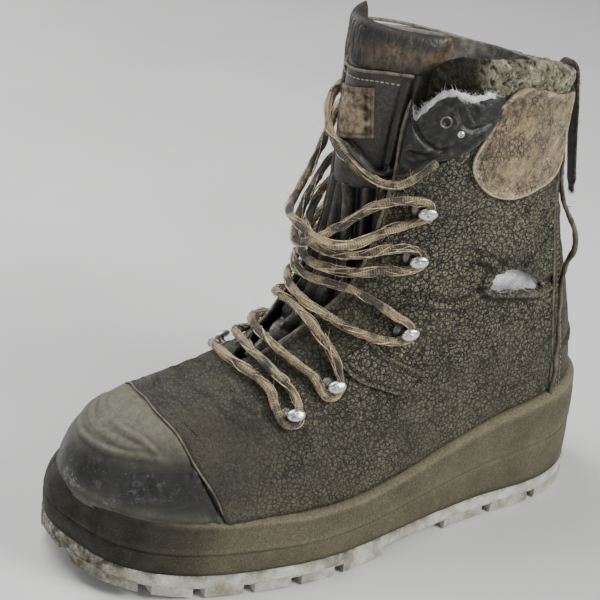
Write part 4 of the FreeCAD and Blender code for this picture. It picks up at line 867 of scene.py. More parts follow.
# ------------------------------------------------------------------ stitches and piping
def stitches(pts, d=0.25, pitch=3.2, r=0.42, gap=0.35, sink=0.4):
    """Thread stitches along a line of (angle, level) pairs, as short arched tubes."""
    c = curve(pts)(np.linspace(0, 1, 400))
    P = off(c[:, 0], c[:, 1], np.full(400, d))
    N = normal(c[:, 0], c[:, 1])
    L = np.r_[0, np.cumsum(np.linalg.norm(np.diff(P, axis=0), axis=1))]
    parts = []
    for k in range(int(L[-1] / pitch)):
        a, b = k * pitch + gap * pitch / 2, (k + 1) * pitch - gap * pitch / 2
        q = np.linspace(a, b, 6)
        pts3 = np.stack([np.interp(q, L, P[:, i]) for i in range(3)], 1)
        nn = np.stack([np.interp(q, L, N[:, i]) for i in range(3)], 1)
        h = np.sin(np.linspace(0, math.pi, 6)) * 0.42 - sink
        parts.append(tube("s", pts3 + nn * h[:, None], r * (0.75 + 0.25 * np.sin(np.linspace(0, math.pi, 6))), sides=6))
    return parts


def bead(name, pts, r=1.0, d=0.4, wob=0.15, n=220, sides=10, flat=1.0, seed=3, mat=None, taper=True, wear=0.5):
    """Rounded leather edge along a line of (angle, level) pairs."""
    c = curve(pts)(np.linspace(0, 1, n))
    P = off(c[:, 0], c[:, 1], np.full(n, d))
    P = P + normal(c[:, 0], c[:, 1]) * (waves(P, 14, seed)[:, None] * wob)
    rad = r * (1 + 0.16 * waves(P, 7, seed + 1))
    if taper:
        t = np.linspace(0, 1, n)
        rad = rad * np.clip(np.minimum(t, 1 - t) * 18 + 0.35, 0, 1)
    w = np.clip(wear + 0.5 * waves(P, 18, seed + 2), 0, 1)
    v, q, t3, at = tube(name, P, rad, sides=sides, attrs={"wear": w, "dust": w * 0.5})
    return v, q, t3, at


# ------------------------------------------------------------------ upper leather
LEFT = curve([(54.9, 0.0), (50.8, 1.0), (42.4, 2.0), (29.0, 3.0), (15.9, 3.45), (0.0, 3.66)])


def left_edge(s):
    """Front boundary of the leather at each level, in degrees."""
    q = np.linspace(0, 1, 400)
    c = LEFT(q)
    lo = np.interp(s, c[:, 1], c[:, 0])
    hi = np.interp(s, [3.66, 5.38, 5.6, 5.9, 6.4, 7.0, 8.0, 9.0, 10.0, 10.65], [0, 0, 6.5, 13.5, 20.0, 26.0, 36.6, 39.5, 41.0, 42.5])
    return np.where(s <= 3.66, lo, hi)


def right_edge(s):
    return np.interp(s, [0, 2, 6.2, 9, 11.7], [141.2, 140.8, 140.3, 139.2, 138.7])


TOP_L = curve([(42.5, 10.62), (55.0, 10.78), (66.0, 11.05), (77.0, 11.7), (88.0, 12.1), (110.0, 12.0), (128.0, 11.88), (139.0, 11.75)])
TOP_M = curve([(37.5, 12.95), (50.0, 12.7), (70.0, 12.35), (90.0, 12.15), (115.0, 12.0), (139.0, 11.85)])
q_ = np.linspace(0, 1, 300)
TL, TM = TOP_L(q_), TOP_M(q_)

HOLE = [(97.8, 7.02), (100.5, 7.36), (105, 7.46), (109.5, 7.3), (113, 7.16), (117.5, 6.9), (122, 6.62), (127.5, 6.2), (131.6, 5.62), (128.0, 5.66), (123, 5.86), (118, 6.02), (113, 6.26), (108, 6.4), (102.5, 6.66)]
HOLE_UP = HOLE[0:9]
HOLE_LOW = [(98.0, 7.1), (101.7, 6.66), (109.5, 6.3), (117, 6.0), (124, 5.7), (130.4, 5.48), (136.5, 5.45)]


def inside(ps, s, poly):
    p = np.asarray(poly, float)
    c = np.zeros(np.shape(ps), bool)
    j = len(p) - 1
    for i in range(len(p)):
        hit = ((p[i, 1] > s) != (p[j, 1] > s)) & (ps < (p[j, 0] - p[i, 0]) * (s - p[i, 1]) / (p[j, 1] - p[i, 1] + 1e-12) + p[i, 0])
        c ^= hit
        j = i
    return c


def leather_grid(side, rows, cols):
    a = np.linspace(0, 1, rows)[:, None] * np.ones(cols)
    b = np.linspace(0, 1, cols)[None, :] * np.ones((rows, 1))
    if side > 0:
        top = TL
        smax, knee = 10.62, 9.0
    else:
        top = TM
        smax, knee = 12.95, 9.0
    s = a * smax
    L = left_edge(np.minimum(s, 10.65))
    if side < 0:
        L = np.where(s > 8.0, np.interp(s, [8.0, 9.0, 10.0, 12.95], [36.6, 37.8, 38.0, 37.5]), L)
    R = right_edge(s)
    ps = L + (R - L) * b
    t = np.interp(ps, top[:, 0], top[:, 1])
    s = np.where(s > knee, knee + (s - knee) / (smax - knee) * (t - knee), s)
    return ps, s


def make_upper(side):
    tag = "lateral" if side > 0 else "medial"
    rows, cols = (400, 300) if side > 0 else (240, 170)
    ps, s = leather_grid(side, rows, cols)
    P = surf(side * ps, s)
    N = normal(side * ps, s)
    d = np.zeros_like(ps)
    lines = lambda pts: on_surf([(side * p, q) for p, q in pts])
    # overall unevenness of worn leather
    d += 0.55 * waves(P, 46, 1, 2) + 0.22 * waves(P, 13, 2, 3) * step(s, 1.5, 5.0)
    crease_shade = np.zeros_like(ps)
    wear = np.zeros_like(ps)
    dust = 0.35 + 0.35 * waves(P, 30, 4, 3)
    dust += 0.7 * bump(s, 1.0) + 0.25 * step(ps, 70, 120)
    # crackle wrinkles in the flexing zones, with painted shade in their troughs
    wr = np.abs(waves(P * np.array([1.0, 1.0, 1.6]), 9, 5, 3))
    flex = step(ps, 52, 95) * step(s, 0.6, 2.5)
    flex = np.maximum(flex, bump(s - 5.6, 2.2) * step(ps, 25, 60))
    d += -0.42 * (1 - step(wr, 0.02, 0.22)) * flex
    crease_shade += 0.55 * (1 - step(wr, 0.0, 0.07)) * flex * step(waves(P, 22, 6, 2), -0.3, 0.5)
    # vamp flex creases across the front, with painted shade along each
    for k, (pts, h) in enumerate((
        ([(2, 4.55), (22, 4.35), (40, 3.6), (55, 2.7)], 0.8), ([(2, 5.0), (18, 4.9), (38, 4.1), (50, 3.6)], 0.7),
        ([(0, 4.1), (18, 3.95), (34, 3.4)], 0.45), ([(30, 6.6), (48, 6.2), (62, 5.7), (76, 5.6)], 0.7),
        ([(44, 7.6), (56, 7.3), (66, 7.0), (80, 6.4)], 0.6))):
        dist, at = near(P, lines(pts))
        fade = np.sin(math.pi * np.clip(at, 0.02, 0.98)) ** 0.5
        d += fade * (-h * bump(dist, 1.3) + 0.5 * h * bump(dist - 3.4, 2.2))
        crease_shade += 0.4 * bump(dist, 0.7) * fade
    # seams: toe cap edge, ankle seam ridges, facing fold
    dist, _ = near(P, lines([(54.9, 0.0), (50.8, 1.0), (42.4, 2.0), (29.0, 3.0), (15.9, 3.45), (0.0, 3.66)]))
    d += -0.5 * bump(dist, 1.0) + 0.35 * bump(dist - 2.6, 1.4)
    face = [(13.5, 5.9), (26.0, 7.0), (36.6, 8.0), (39.5, 9.0), (41.0, 10.0), (42.5, 10.6)]
    dist, _ = near(P, lines(face))
    d += 0.9 * bump(dist - 1.2, 1.2) - 0.45 * bump(dist - 4.4, 1.0)
    wear += 0.75 * bump(dist - 0.8, 0.9) * step(waves(P, 12, 8, 2), -0.5, 0.3)
    # painted shade in the groove beside the facing fold
    crease_shade += 0.35 * bump(dist - 4.4, 0.6)
    hole = np.zeros_like(ps, bool)
    if side > 0:
        for pts, h, w in (([(58.9, 7.47), (73.4, 7.10), (86.5, 6.68), (93.5, 6.67), (99.4, 6.90), (106.6, 6.99)], 1.5, 1.5), ([(86.2, 8.31), (96.4, 7.96), (105.4, 7.33), (113.8, 7.00)], 1.5, 1.6)):
            dist, at = near(P, lines(pts))
            f = np.clip(np.minimum(at, 1 - at) * 8 + 0.2, 0, 1)
            d += f * (h * bump(dist, w) - 0.9 * bump(dist - 3.4, 1.4))
            wear += 0.5 * f * bump(dist, 1.0)
            # painted shade in the groove below each ridge
            crease_shade += 0.5 * f * bump(dist - 3.2, 0.9)
        # leather pulled out and curled round the tear
        rim, _ = near(P, lines(HOLE + HOLE[:1]))
        hole = inside(ps, s, HOLE)
        up, _ = near(P, lines(HOLE_UP))
        low, at = near(P, lines(HOLE_LOW))
        d += 4.4 * bump(np.maximum(low - 0.6, 0), 2.2) * (s < np.interp(ps, [98, 109.5, 117, 124, 130.4, 137], [7.2, 6.35, 6.05, 5.75, 5.55, 5.5]) + 0.08)
        d += 2.8 * bump(up, 2.4) - 1.3 * bump(np.maximum(low - 5.0, 0), 2.2) * (s < 6.6)
        wear += 0.9 * bump(rim, 1.3) + 0.35 * bump(low - 1.0, 1.5) * (s < 7.3)
        # painted shade under the lifted lips of the tear
        crease_shade += 0.7 * bump(low - 4.0, 1.3) * (s < 6.7) + 0.5 * bump(up - 4.2, 1.2) * (s > 5.8)
        dist, _ = near(P, lines([(114.9, 7.0), (124.0, 7.36), (134.7, 7.81), (139.5, 7.95)]))
        d += -0.9 * bump(dist, 1.0) + 0.8 * bump(dist - 2.4, 1.3)
        # painted shade in the seam groove
        crease_shade += 0.75 * bump(dist, 0.9)
        # bulge of the leather above the foot hooks and dents of the tab
        dist, _ = near(P, lines([(46, 5.4), (60, 5.0), (75, 4.2), (88, 3.2)]))
        d += -0.5 * bump(dist, 3.0)
    else:
        dist, at = near(P, lines([(36.6, 8.0), (60.0, 7.42), (80.0, 6.92), (105.0, 6.72), (125.0, 6.27), (139.0, 6.2)]))
        d += 1.3 * bump(dist, 1.5) - 0.7 * bump(dist - 3.3, 1.3)
        wear += 0.4 * bump(dist, 1.0)
        # painted shade in the groove below the ridge
        crease_shade += 0.4 * bump(dist - 3.1, 0.8)
    # the edge where the rubber wall grips the leather, with painted shade along the joint
    y, z = P[..., 1], P[..., 2]
    wall = np.interp(y, TOPW[:, 0], TOPW[:, 1])
    hgt = z - wall
    d += -0.5 * bump(np.maximum(hgt, 0), 1.6)
    dust += 0.9 * bump(np.maximum(hgt, 0), 9.0)
    crease_shade += 0.45 * bump(hgt - 0.3, 1.2)
    # back edge
    d += 0.5 * bump(right_edge(s) - ps, 1.6)
    smooth = 1 - step(s, 2.5, 5.0) * 0.35 - 0.65 * step(ps, 38, 80)
    smooth = np.clip(smooth - 0.5 * step(s, 6.5, 8.5), 0, 1)
    d = np.clip(d, -1.2, 3.6)
    O = P + N * d[..., None]
    I = P + N * (np.minimum(d, 0.6) * 0.5 - 1.85)[..., None]
    keep = None
    if side > 0:
        keep = ~hole[:-1, :-1]
    o = shell("upper_" + tag, O, I, {"dust": np.clip(dust, 0, 1), "wear": np.clip(wear, 0, 1), "crease_shade": np.clip(crease_shade, 0, 0.9), "smooth": smooth}, keep)
    nodes = ["quarter_" + tag, "shaft_" + tag]
    if side > 0:
        nodes.append("vamp")
    put(o, M_BODY, "boot", nodes)
    return o


TOPW = np.array([(-165, 53), (-150, 50), (-118, 44.5), (-86, 43), (-23, 41), (30, 47.5), (60, 54.5), (92, 61.5), (125, 66), (165, 68.5)], float)
TOPM = spline_m(TOPW[:, 0], TOPW[:, 1])
wall_top = lambda y: spline_v(TOPW[:, 0], TOPW[:, 1], TOPM, np.clip(y, -165, 165))[..., 0]

make_upper(1)
make_upper(-1)


# ------------------------------------------------------------------ toe cap
def make_toe():
    rows, cols = 130, 260
    seam = curve([(54.9, 0.0), (50.8, 1.0), (42.4, 2.0), (29.0, 3.0), (15.9, 3.45), (0.0, 3.66), (-15.9, 3.45), (-29.0, 3.0), (-42.4, 2.0), (-50.8, 1.0), (-54.9, 0.0)])
    b = np.linspace(0, 1, cols)
    top = seam(0.03 + 0.94 * b)
    lowp = 54.9 - 109.8 * b
    a = np.linspace(0, 1, rows)[:, None]
    ps = lowp[None] + (top[None, :, 0] - lowp[None]) * a
    s = top[None, :, 1] * a
    P, N = surf(ps, s), normal(ps, s)
    low_toe = step(s, 2.6, 0.9) * (1 - step(np.abs(ps), 10, 40))
    d = 0.7 + 1.7 * low_toe - 2.6 * step(s, 2.6, 1.3) * step(np.abs(ps), 22, 46) + 0.25 * waves(P, 30, 11, 2) + 0.08 * waves(P, 8, 12, 2)
    edge = 1 - a * np.ones(cols)
    d -= 1.1 * bump(edge, 0.018)
    crease_shade, scuff = np.zeros_like(d), np.zeros_like(d)
    dust = 0.06 + 0.1 * waves(P, 25, 13, 3) + 0.95 * step(N[..., 2], 0.4, 0.9)
    for sg in (1, -1):
        for pts, h, w in (([(-9, 2.02), (4, 2.06), (17.5, 2.06), (28.8, 2.14), (36, 2.05)], 0.9, 1.6), ([(0, 2.80), (12, 2.70), (24.7, 2.50), (33, 2.1)], 0.8, 1.6), ([(0, 2.42), (14, 2.38), (26, 2.30)], 0.35, 2.2)):
            dist, at = near(P, on_surf([(sg * p, q) for p, q in pts]))
            f = np.clip(np.minimum(at, 1 - at) * 7 + 0.1, 0, 1)
            d += f * h * bump(dist, w)
            # painted shade in the groove beside each ridge
            crease_shade += f * 0.3 * bump(dist - 2.6, 0.9)
            dust += f * 0.3 * bump(dist, 1.5)
        dist, _ = near(P, on_surf([(sg * 42.9, 1.88), (sg * 47.0, 1.3), (sg * 52.9, 0.37)]))
        d += 1.1 * bump(dist, 1.6) - 0.5 * bump(dist - 3.5, 1.2)
        scuff += 0.5 * bump(dist, 1.4)
        # generic framed recess on the side of the cap
        quad = [(sg * 25.9, 1.72), (sg * 41.9, 1.88), (sg * 44.0, 1.12), (sg * 28.5, 0.99)]
        frame_d, _ = near(P, on_surf(quad + quad[:1]))
        inq = inside(ps, s, quad)
        d += -0.45 * inq * step(frame_d, 0.4, 1.5) + 0.28 * bump(frame_d, 0.8)
        for k in range(5):
            f0 = (k + 0.5) / 5
            x0 = quad[0][0] + (quad[1][0] - quad[0][0]) * f0
            x1 = quad[3][0] + (quad[2][0] - quad[3][0]) * f0
            dist, _ = near(P, on_surf([(x0, 1.60 + 0.03 * k), (x1, 1.20 + 0.02 * k)]))
            d += 0.4 * bump(dist, 1.0) * inq
        # painted shade inside the frame of the recess
        crease_shade += 0.4 * inq * bump(frame_d - 1.2, 0.8)
        scuff += 0.25 * inq
        dist, _ = near(P, on_surf([(sg * 18, 0.52), (sg * 38, 0.42), (sg * 54, 0.34)]))
        d += 0.7 * bump(dist, 1.2)
    c, _ = near(P, on_surf([(14, 1.5), (24, 1.15), (20, 0.8)]))
    scuff += 0.45 * bump(c, 5.0)
    c, _ = near(P, on_surf([(-6, 1.2), (8, 1.0)]))
    scuff += 0.75 * bump(c, 6.0)
    scuff += 0.06 * step(waves(P, 14, 15, 2), 0.3, 0.9) * step(s, 1.6, 0.3)
    y, z = P[..., 1], P[..., 2]
    hgt = z - wall_top(y)
    # painted shade along the foot of the cap where it meets the wall
    crease_shade += 0.5 * bump(hgt - 0.4, 1.2)
    dust += 0.5 * bump(np.maximum(hgt, 0), 4.0)
    O = P + N * d[..., None]
    I = P + N * (-2.0 + 0 * d)[..., None]
    o = shell("toe_cap_rubber", O, I, {"dust": np.clip(dust, 0, 1), "scuff": np.clip(scuff, 0, 1), "crease_shade": np.clip(crease_shade, 0, 0.85)})
    put(o, M_TOE, "boot", ["toe_cap"])
    # turned edge and stitching behind the cap
    edge_pts = [(p * 1.0, q + 0.02) for p, q in ((51.9, 0.78), (50.3, 1.1), (42.2, 2.0), (28.8, 3.0), (15.7, 3.44), (0.0, 3.65), (-15.7, 3.44), (-28.8, 3.0), (-42.2, 2.0), (-50.3, 1.1), (-51.9, 0.78))]
    e = merge("toe_cap_edge", [bead("e", edge_pts, r=0.62, d=0.4, wob=0.1, n=420, seed=31, wear=0.55)])
    put(e, M_PIPE_DARK)
    st = stitches([(p * 1.035, q + 0.085) for p, q in edge_pts[1:-1]], d=0.3, pitch=3.4, r=0.36)
    st += stitches([(p * 1.09, q + 0.2) for p, q in edge_pts[1:-1]], d=0.25, pitch=3.4, r=0.34)
    put(merge("toe_cap_stitching", st), M_THREAD_D)


make_toe()

# ------------------------------------------------------------------ sole
ST = np.array([0, .02, .05, .10, .20, .30, .36, .45, .55, .65, .75, .85, .92, .97, 1.0])
XL = np.array([-14, 8, 24, 36, 48, 55, 57.5, 56.5, 51.5, 46.5, 43.5, 42.5, 36, 24, 0.0])
XM = np.array([-14, -36, -47, -53, -56, -56.5, -55.5, -50.5, -46, -43, -42, -42, -36, -24, 0.0])
spring = lambda y: np.where(y < -85, ((-85.0 - y) / 71.0) ** 2 * 11.0, 0.0)


def sole_outline(n=900):
    ring = [(XL[i], -156 + ST[i] * 312) for i in range(len(ST))] + [(XM[i], -156 + ST[i] * 312) for i in range(len(ST) - 2, 0, -1)]
    p = np.array(ring)
    k = len(p)
    p3 = np.concatenate([p[-6:], p, p[:7]])
    L = np.r_[0, np.cumsum(np.linalg.norm(np.diff(p3, axis=0), axis=1))]
    m = spline_m(L, p3)
    q = np.linspace(L[6], L[6 + k], n, endpoint=False)
    o = spline_v(L, p3, m, q)
    t = np.roll(o, -1, 0) - np.roll(o, 1, 0)
    t /= np.linalg.norm(t, axis=1, keepdims=True)
    return o, np.stack([t[:, 1], -t[:, 0]], 1)


OUT, OUTN = sole_outline()
if (OUTN * OUT).sum(1).mean() < 0:
    OUTN = -OUTN


def ring_solid(name, prof, attrs, mat, nodes):
    """Closed band round the sole. prof gives, for each row, (inset, z) arrays along the outline."""
    rows = len(prof)
    n = len(OUT)
    V = np.zeros((rows, n, 3))
    for i, (ins, z) in enumerate(prof):
        V[i, :, :2] = OUT - OUTN * np.broadcast_to(ins, (n,))[:, None]
        V[i, :, 2] = z
    q = quads_of(rows, n, wrap_n=True, wrap_m=True)
    c = V.mean((0, 1))
    F = V.reshape(-1, 3)
    nn = np.cross(F[q[0, 1]] - F[q[0, 0]], F[q[0, 3]] - F[q[0, 0]])
    if nn @ np.r_[OUTN[0], 0] < 0:
        q = q[:, ::-1]
    at = {k: v(V).reshape(-1) for k, v in attrs.items()}
    o = new_mesh(name, F, q, at)
    put(o, mat, "boot", nodes)
    return o


def make_midsole():
    x, y = OUT[:, 0], OUT[:, 1]
    z0 = 13.1 + spring(y) * 1.05
    z1 = wall_top(y)
    h = z1 - z0
    P0 = np.stack([x, y, z0], 1)
    w1, w2 = waves(P0, 38, 41, 2), waves(P0, 12, 42, 2)
    rows = []
    vs = [0, .02, .05, .09, .14, .2, .26, .32, .37, .40, .42, .435, .45, .47, .5, .54, .6, .66, .72, .78, .83, .87, .90, .925, .945, .96, .975, .988, .996, 1.0]
    for v in vs:
        ins = 0.55 + 0.35 * (1 - math.sin(math.pi * min(1, v / 0.44)) if v < .44 else 1 - math.sin(math.pi * (v - .44) / .56))
        ins = ins + 0.16 * w1 + 0.1 * w2
        line = 0.43 + 0.03 * np.sin(y / 60.0)
        ins = ins + 0.7 * bump(v - line, 0.014) - 0.15 * bump(v - line - 0.05, 0.03)
        toe_w = step(y, -92, -138)
        ins = ins + toe_w * 5.6 * max(0.0, (v - 0.42) / 0.58) ** 1.5 + (1 - toe_w) * 1.3 * max(0.0, (v - 0.5) / 0.5) ** 1.6
        ins = ins + 0.5 * bump(v - 0.83, 0.014)
        if v > 0.94:
            k = (v - 0.94) / 0.06
            ins = ins + 2.6 * k ** 2.2
        rows.append((ins, z0 + h * v + (0.25 * w2 if v > 0.8 else 0)))
    top = z1
    rows.append((rows[-1][0] + 2.2, top + 0.05))
    rows.append((rows[-1][0] + 2.4, top - 1.4))
    rows.append((rows[-1][0] + 0.4, top - 5.0))
    rows.append((rows[-1][0] + 0.2, z0 + 8.0))
    rows.append((9.5, z0))
    rows.append((3.0, z0))
    rows.append((1.6, z0 + 0.0))

    def dust(V):
        z0b = 13.1 + spring(V[..., 1]) * 1.05
        v = (V[..., 2] - z0b) / np.maximum(wall_top(V[..., 1]) - z0b, 1)
        return np.clip(0.5 + 0.15 * waves(V, 26, 43, 3) + 0.65 * step(v, 0.88, 0.99) * (1 - step(V[..., 1], -100, -135)) + 0.2 * bump(v - 0.48, 0.06) - 0.5 * step(V[..., 1], -80, -140), 0, 1)

    # painted shade in the groove line and at the foot of the wall; the toe end is painted darker as well
    def crease_shade(V):
        z0b = 13.1 + spring(V[..., 1]) * 1.05
        v = (V[..., 2] - z0b) / np.maximum(wall_top(V[..., 1]) - z0b, 1)
        line = 0.43 + 0.03 * np.sin(V[..., 1] / 60.0)
        return np.clip(0.45 * bump(v - line, 0.012) + 0.5 * bump(v - 0.02, 0.03) + 0.62 * step(V[..., 1], -84, -126), 0, 0.85)

    ring_solid("midsole_wall", rows, {"dust": dust, "crease_shade": crease_shade}, M_MID, ["midsole"])


make_midsole()

GAPS = [-128.0, -103.0, -78.0, -53.0, -28.0, 76.0, 108.0]


def half_width(y, side):
    p = OUT[(OUT[:, 0] > -14) if side > 0 else (OUT[:, 0] < 0)]
    o = np.argsort(p[:, 1])
    return np.interp(y, p[o, 1], p[o, 0])


def make_outsole():
    # upper slab
    y, x = OUT[:, 1], OUT[:, 0]
    P0 = np.stack([x, y, 0 * x], 1)
    w = waves(P0, 16, 51, 3)
    zt = 13.0 + spring(y) * 1.05
    arch = step(y, 2, 8) * (1 - step(y, 44, 50))
    zb = 5.0 + spring(y) * 1.02 - 0.0 * arch
    rows = []
    for v, i0 in ((0, 2.2), (0.03, 0.9), (0.12, 0.3), (0.3, 0.1), (0.55, 0.12), (0.8, 0.1), (0.93, 0.35), (0.99, 0.9), (1.0, 1.8)):
        rows.append((i0 + 0.22 * w, zb + (zt - zb) * v))
    rows += [(6.0, zt - 0.2), (6.0, zb + 0.3), (3.0, zb)]

    def dirt(V):
        f = 0.25 + 0.5 * waves(V, 24, 52, 3) + 0.75 * step(V[..., 1], -118, -150) + 0.3 * bump(V[..., 2] - (13 + spring(V[..., 1]) * 1.05), 1.6)
        return np.clip(f, 0, 1)

    ring_solid("outsole_rim", rows, {"dirt": dirt}, M_TREAD, ["outsole"])
    parts = []
    # underside web
    yy = np.linspace(-154.5, 154.5, 150)
    bb = np.linspace(0, 1, 40)
    xm, xl = half_width(yy, -1) + 2.0, half_width(yy, 1) - 2.0
    X = xm[:, None] + (xl - xm)[:, None] * bb
    Y = yy[:, None] * np.ones(40)
    Z = 5.2 + spring(Y) * 1.02
    top = np.stack([X, Y, Z + 7.0], -1)
    low = np.stack([X, Y, Z + 0.12 * waves(np.stack([X, Y, Z], -1), 10, 53, 2)], -1)
    N = 150 * 40
    q = quads_of(150, 40)
    rim = np.r_[np.arange(40), np.arange(1, 150) * 40 + 39, 149 * 40 + np.arange(38, -1, -1), np.arange(148, 0, -1) * 40]
    sides = np.stack([rim, np.roll(rim, -1), np.roll(rim, -1) + N, rim + N], 1)
    F = np.concatenate([top.reshape(-1, 3), low.reshape(-1, 3)])
    parts.append((F, np.concatenate([q[:, ::-1], q + N, sides]), None, {"dirt": np.full(2 * N, 0.85)}))
    # cleats, left and right of the middle channel
    edges = [-153.0] + [v for g in GAPS[:5] for v in (g, g + 5)] + [4.0, 48.0] + [v for g in GAPS[5:] for v in (g, g + 5)] + [153.5]
    blocks = [(edges[i], edges[i + 1]) for i in range(0, len(edges), 2)]
    r3 = np.random.default_rng(5)
    for (y0, y1) in blocks:
        for side in (1, -1):
            nu, nv = 14, 16
            u = np.linspace(0, 1, nu)
            v = np.linspace(0, 1, nv)
            yv = y0 + 0.5 + (y1 - y0 - 1.0) * u
            if side > 0:
                xa, xb = np.full(nu, 0.3), half_width(yv, 1)
            else:
                xa, xb = half_width(yv, -1), np.full(nu, -8.3)
            if (xb - xa).min() < 3:
                k = (xb - xa) > 3
                if k.sum() < 4:
                    continue
                yv = np.linspace(yv[k][0], yv[k][-1], nu)
                xa, xb = (np.full(nu, 0.3), half_width(yv, 1)) if side > 0 else (half_width(yv, -1), np.full(nu, -8.3))
            X = xa[:, None] + (xb - xa)[:, None] * v
            Y = yv[:, None] * np.ones(nv)
            eu = np.minimum(u, 1 - u)[:, None] * (y1 - y0)
            ev = np.minimum(v, 1 - v)[None, :] * (xb - xa)[:, None]
            ed = np.minimum(eu, ev)
            S = spring(Y)
            wz = 0.2 * waves(np.stack([X, Y, 0 * X], -1), 9, 54, 2)
            low = S + 0.9 * bump(ed, 0.9) + np.maximum(wz, 0) * step(ed, 0.3, 2)
            # sipes cut into each cleat
            for sx in (0.33, 0.66):
                low = low + 1.4 * bump((v[None, :] - sx) * (xb - xa)[:, None], 1.1) * step(ed, 0.5, 3)
            hi = S * 1.02 + 6.6
            grow = 0.25
            T_ = np.stack([X, Y, hi], -1)
            L_ = np.stack([X + 0 * grow, Y, low], -1)
            n2 = nu * nv
            q = quads_of(nu, nv)
            rim = np.r_[np.arange(nv), np.arange(1, nu) * nv + nv - 1, (nu - 1) * nv + np.arange(nv - 2, -1, -1), np.arange(nu - 2, 0, -1) * nv]
            sd = np.stack([rim, np.roll(rim, -1), np.roll(rim, -1) + n2, rim + n2], 1)
            F = np.concatenate([T_.reshape(-1, 3), L_.reshape(-1, 3)])
            dd = 0.35 + 0.4 * waves(F, 18, 55, 2) + 0.6 * step(F[:, 1], -115, -150)
            parts.append((F, np.concatenate([q[:, ::-1], q + n2, sd]), None, {"dirt": np.clip(dd, 0, 1)}))
    o = merge("outsole_tread", parts)
    o.data.set_sharp_from_angle(angle=math.radians(42))
    put(o, M_TREAD)


make_outsole()


# ------------------------------------------------------------------ backstay, tabs, patches
def region_grid(lo, hi, rows, cols):
    """Grid between two curves of (angle, level) pairs: columns run along them, rows across."""
    b = np.linspace(0, 1, cols)
    A, B = curve(lo)(b), curve(hi)(b)
    a = np.linspace(0, 1, rows)[:, None]
    return A[None, :, 0] + (B - A)[None, :, 0] * a, A[None, :, 1] + (B - A)[None, :, 1] * a


def make_backstay():
    ps, s = region_grid([(141.4, 0.0), (141.0, 2.0), (140.9, 4.0), (140.4, 6.2), (139.4, 9.0), (138.8, 11.95)], [(218.6, 0.0), (219.0, 2.0), (219.1, 4.0), (219.6, 6.2), (220.6, 9.0), (221.2, 11.95)], 110, 300)
    P, N = surf(ps, s), normal(ps, s)
    q = np.where(ps > 180, 360 - ps, ps)
    d = 0.2 + 0.45 * waves(P, 34, 61, 2) + 0.15 * waves(P, 11, 62, 2)
    # painted shade along the heel seam, below each stitched ridge and in the ankle wrinkles
    crease_shade = 0.5 * bump(q - 141.2, 1.1)
    wear = 0.5 * bump(q - 143.2, 1.2)
    d += 0.8 * bump(q - 143.5, 1.8) - 0.5 * bump(q - 147.5, 1.6)
    dust = 0.35 + 0.4 * waves(P, 28, 63, 3) + 0.7 * bump(s, 1.4)
    for lvl, h in ((2.55, 1.0), (7.9, 0.9), (10.75, 0.9)):
        k = s - lvl - 0.25 * np.cos(np.radians(ps - 180) * 3)
        d += h * bump(k, 0.09) - 0.6 * bump(k - 0.17, 0.07)
        crease_shade += 0.4 * bump(k - 0.17, 0.05)
        wear += 0.4 * bump(k, 0.06)
    wr = np.abs(waves(P * np.array([1, 1, 2.4]), 12, 64, 2))
    ank = bump(s - 6.3, 1.3)
    d -= 0.7 * (1 - step(wr, 0.02, 0.3)) * ank
    crease_shade += 0.35 * (1 - step(wr, 0, 0.08)) * ank
    d += 1.0 * bump(q - 180, 2.2) * step(s, 7.6, 8.1)
    O = P + N * np.clip(d, -1, 2.2)[..., None]
    I = P + N * (-2.0 + 0 * d)[..., None]
    o = shell("backstay_panel", O, I, {"dust": np.clip(dust, 0, 1), "wear": np.clip(wear, 0, 1), "crease_shade": np.clip(crease_shade, 0, 0.85), "smooth": 0.25 + 0 * d})
    put(o, M_STAY, "boot", ["backstay"])
    st = []
    for sg in (1, -1):
        for x in (145.3, 147.3):
            st += stitches([(sg * x, 0.9), (sg * (x - 0.4), 4.0), (sg * (x - 0.8), 6.3), (sg * (x - 2.0), 9.0), (sg * (x - 2.6), 11.6)], d=0.45, r=0.34)
    put(merge("backstay_stitching", st), M_THREAD)


make_backstay()


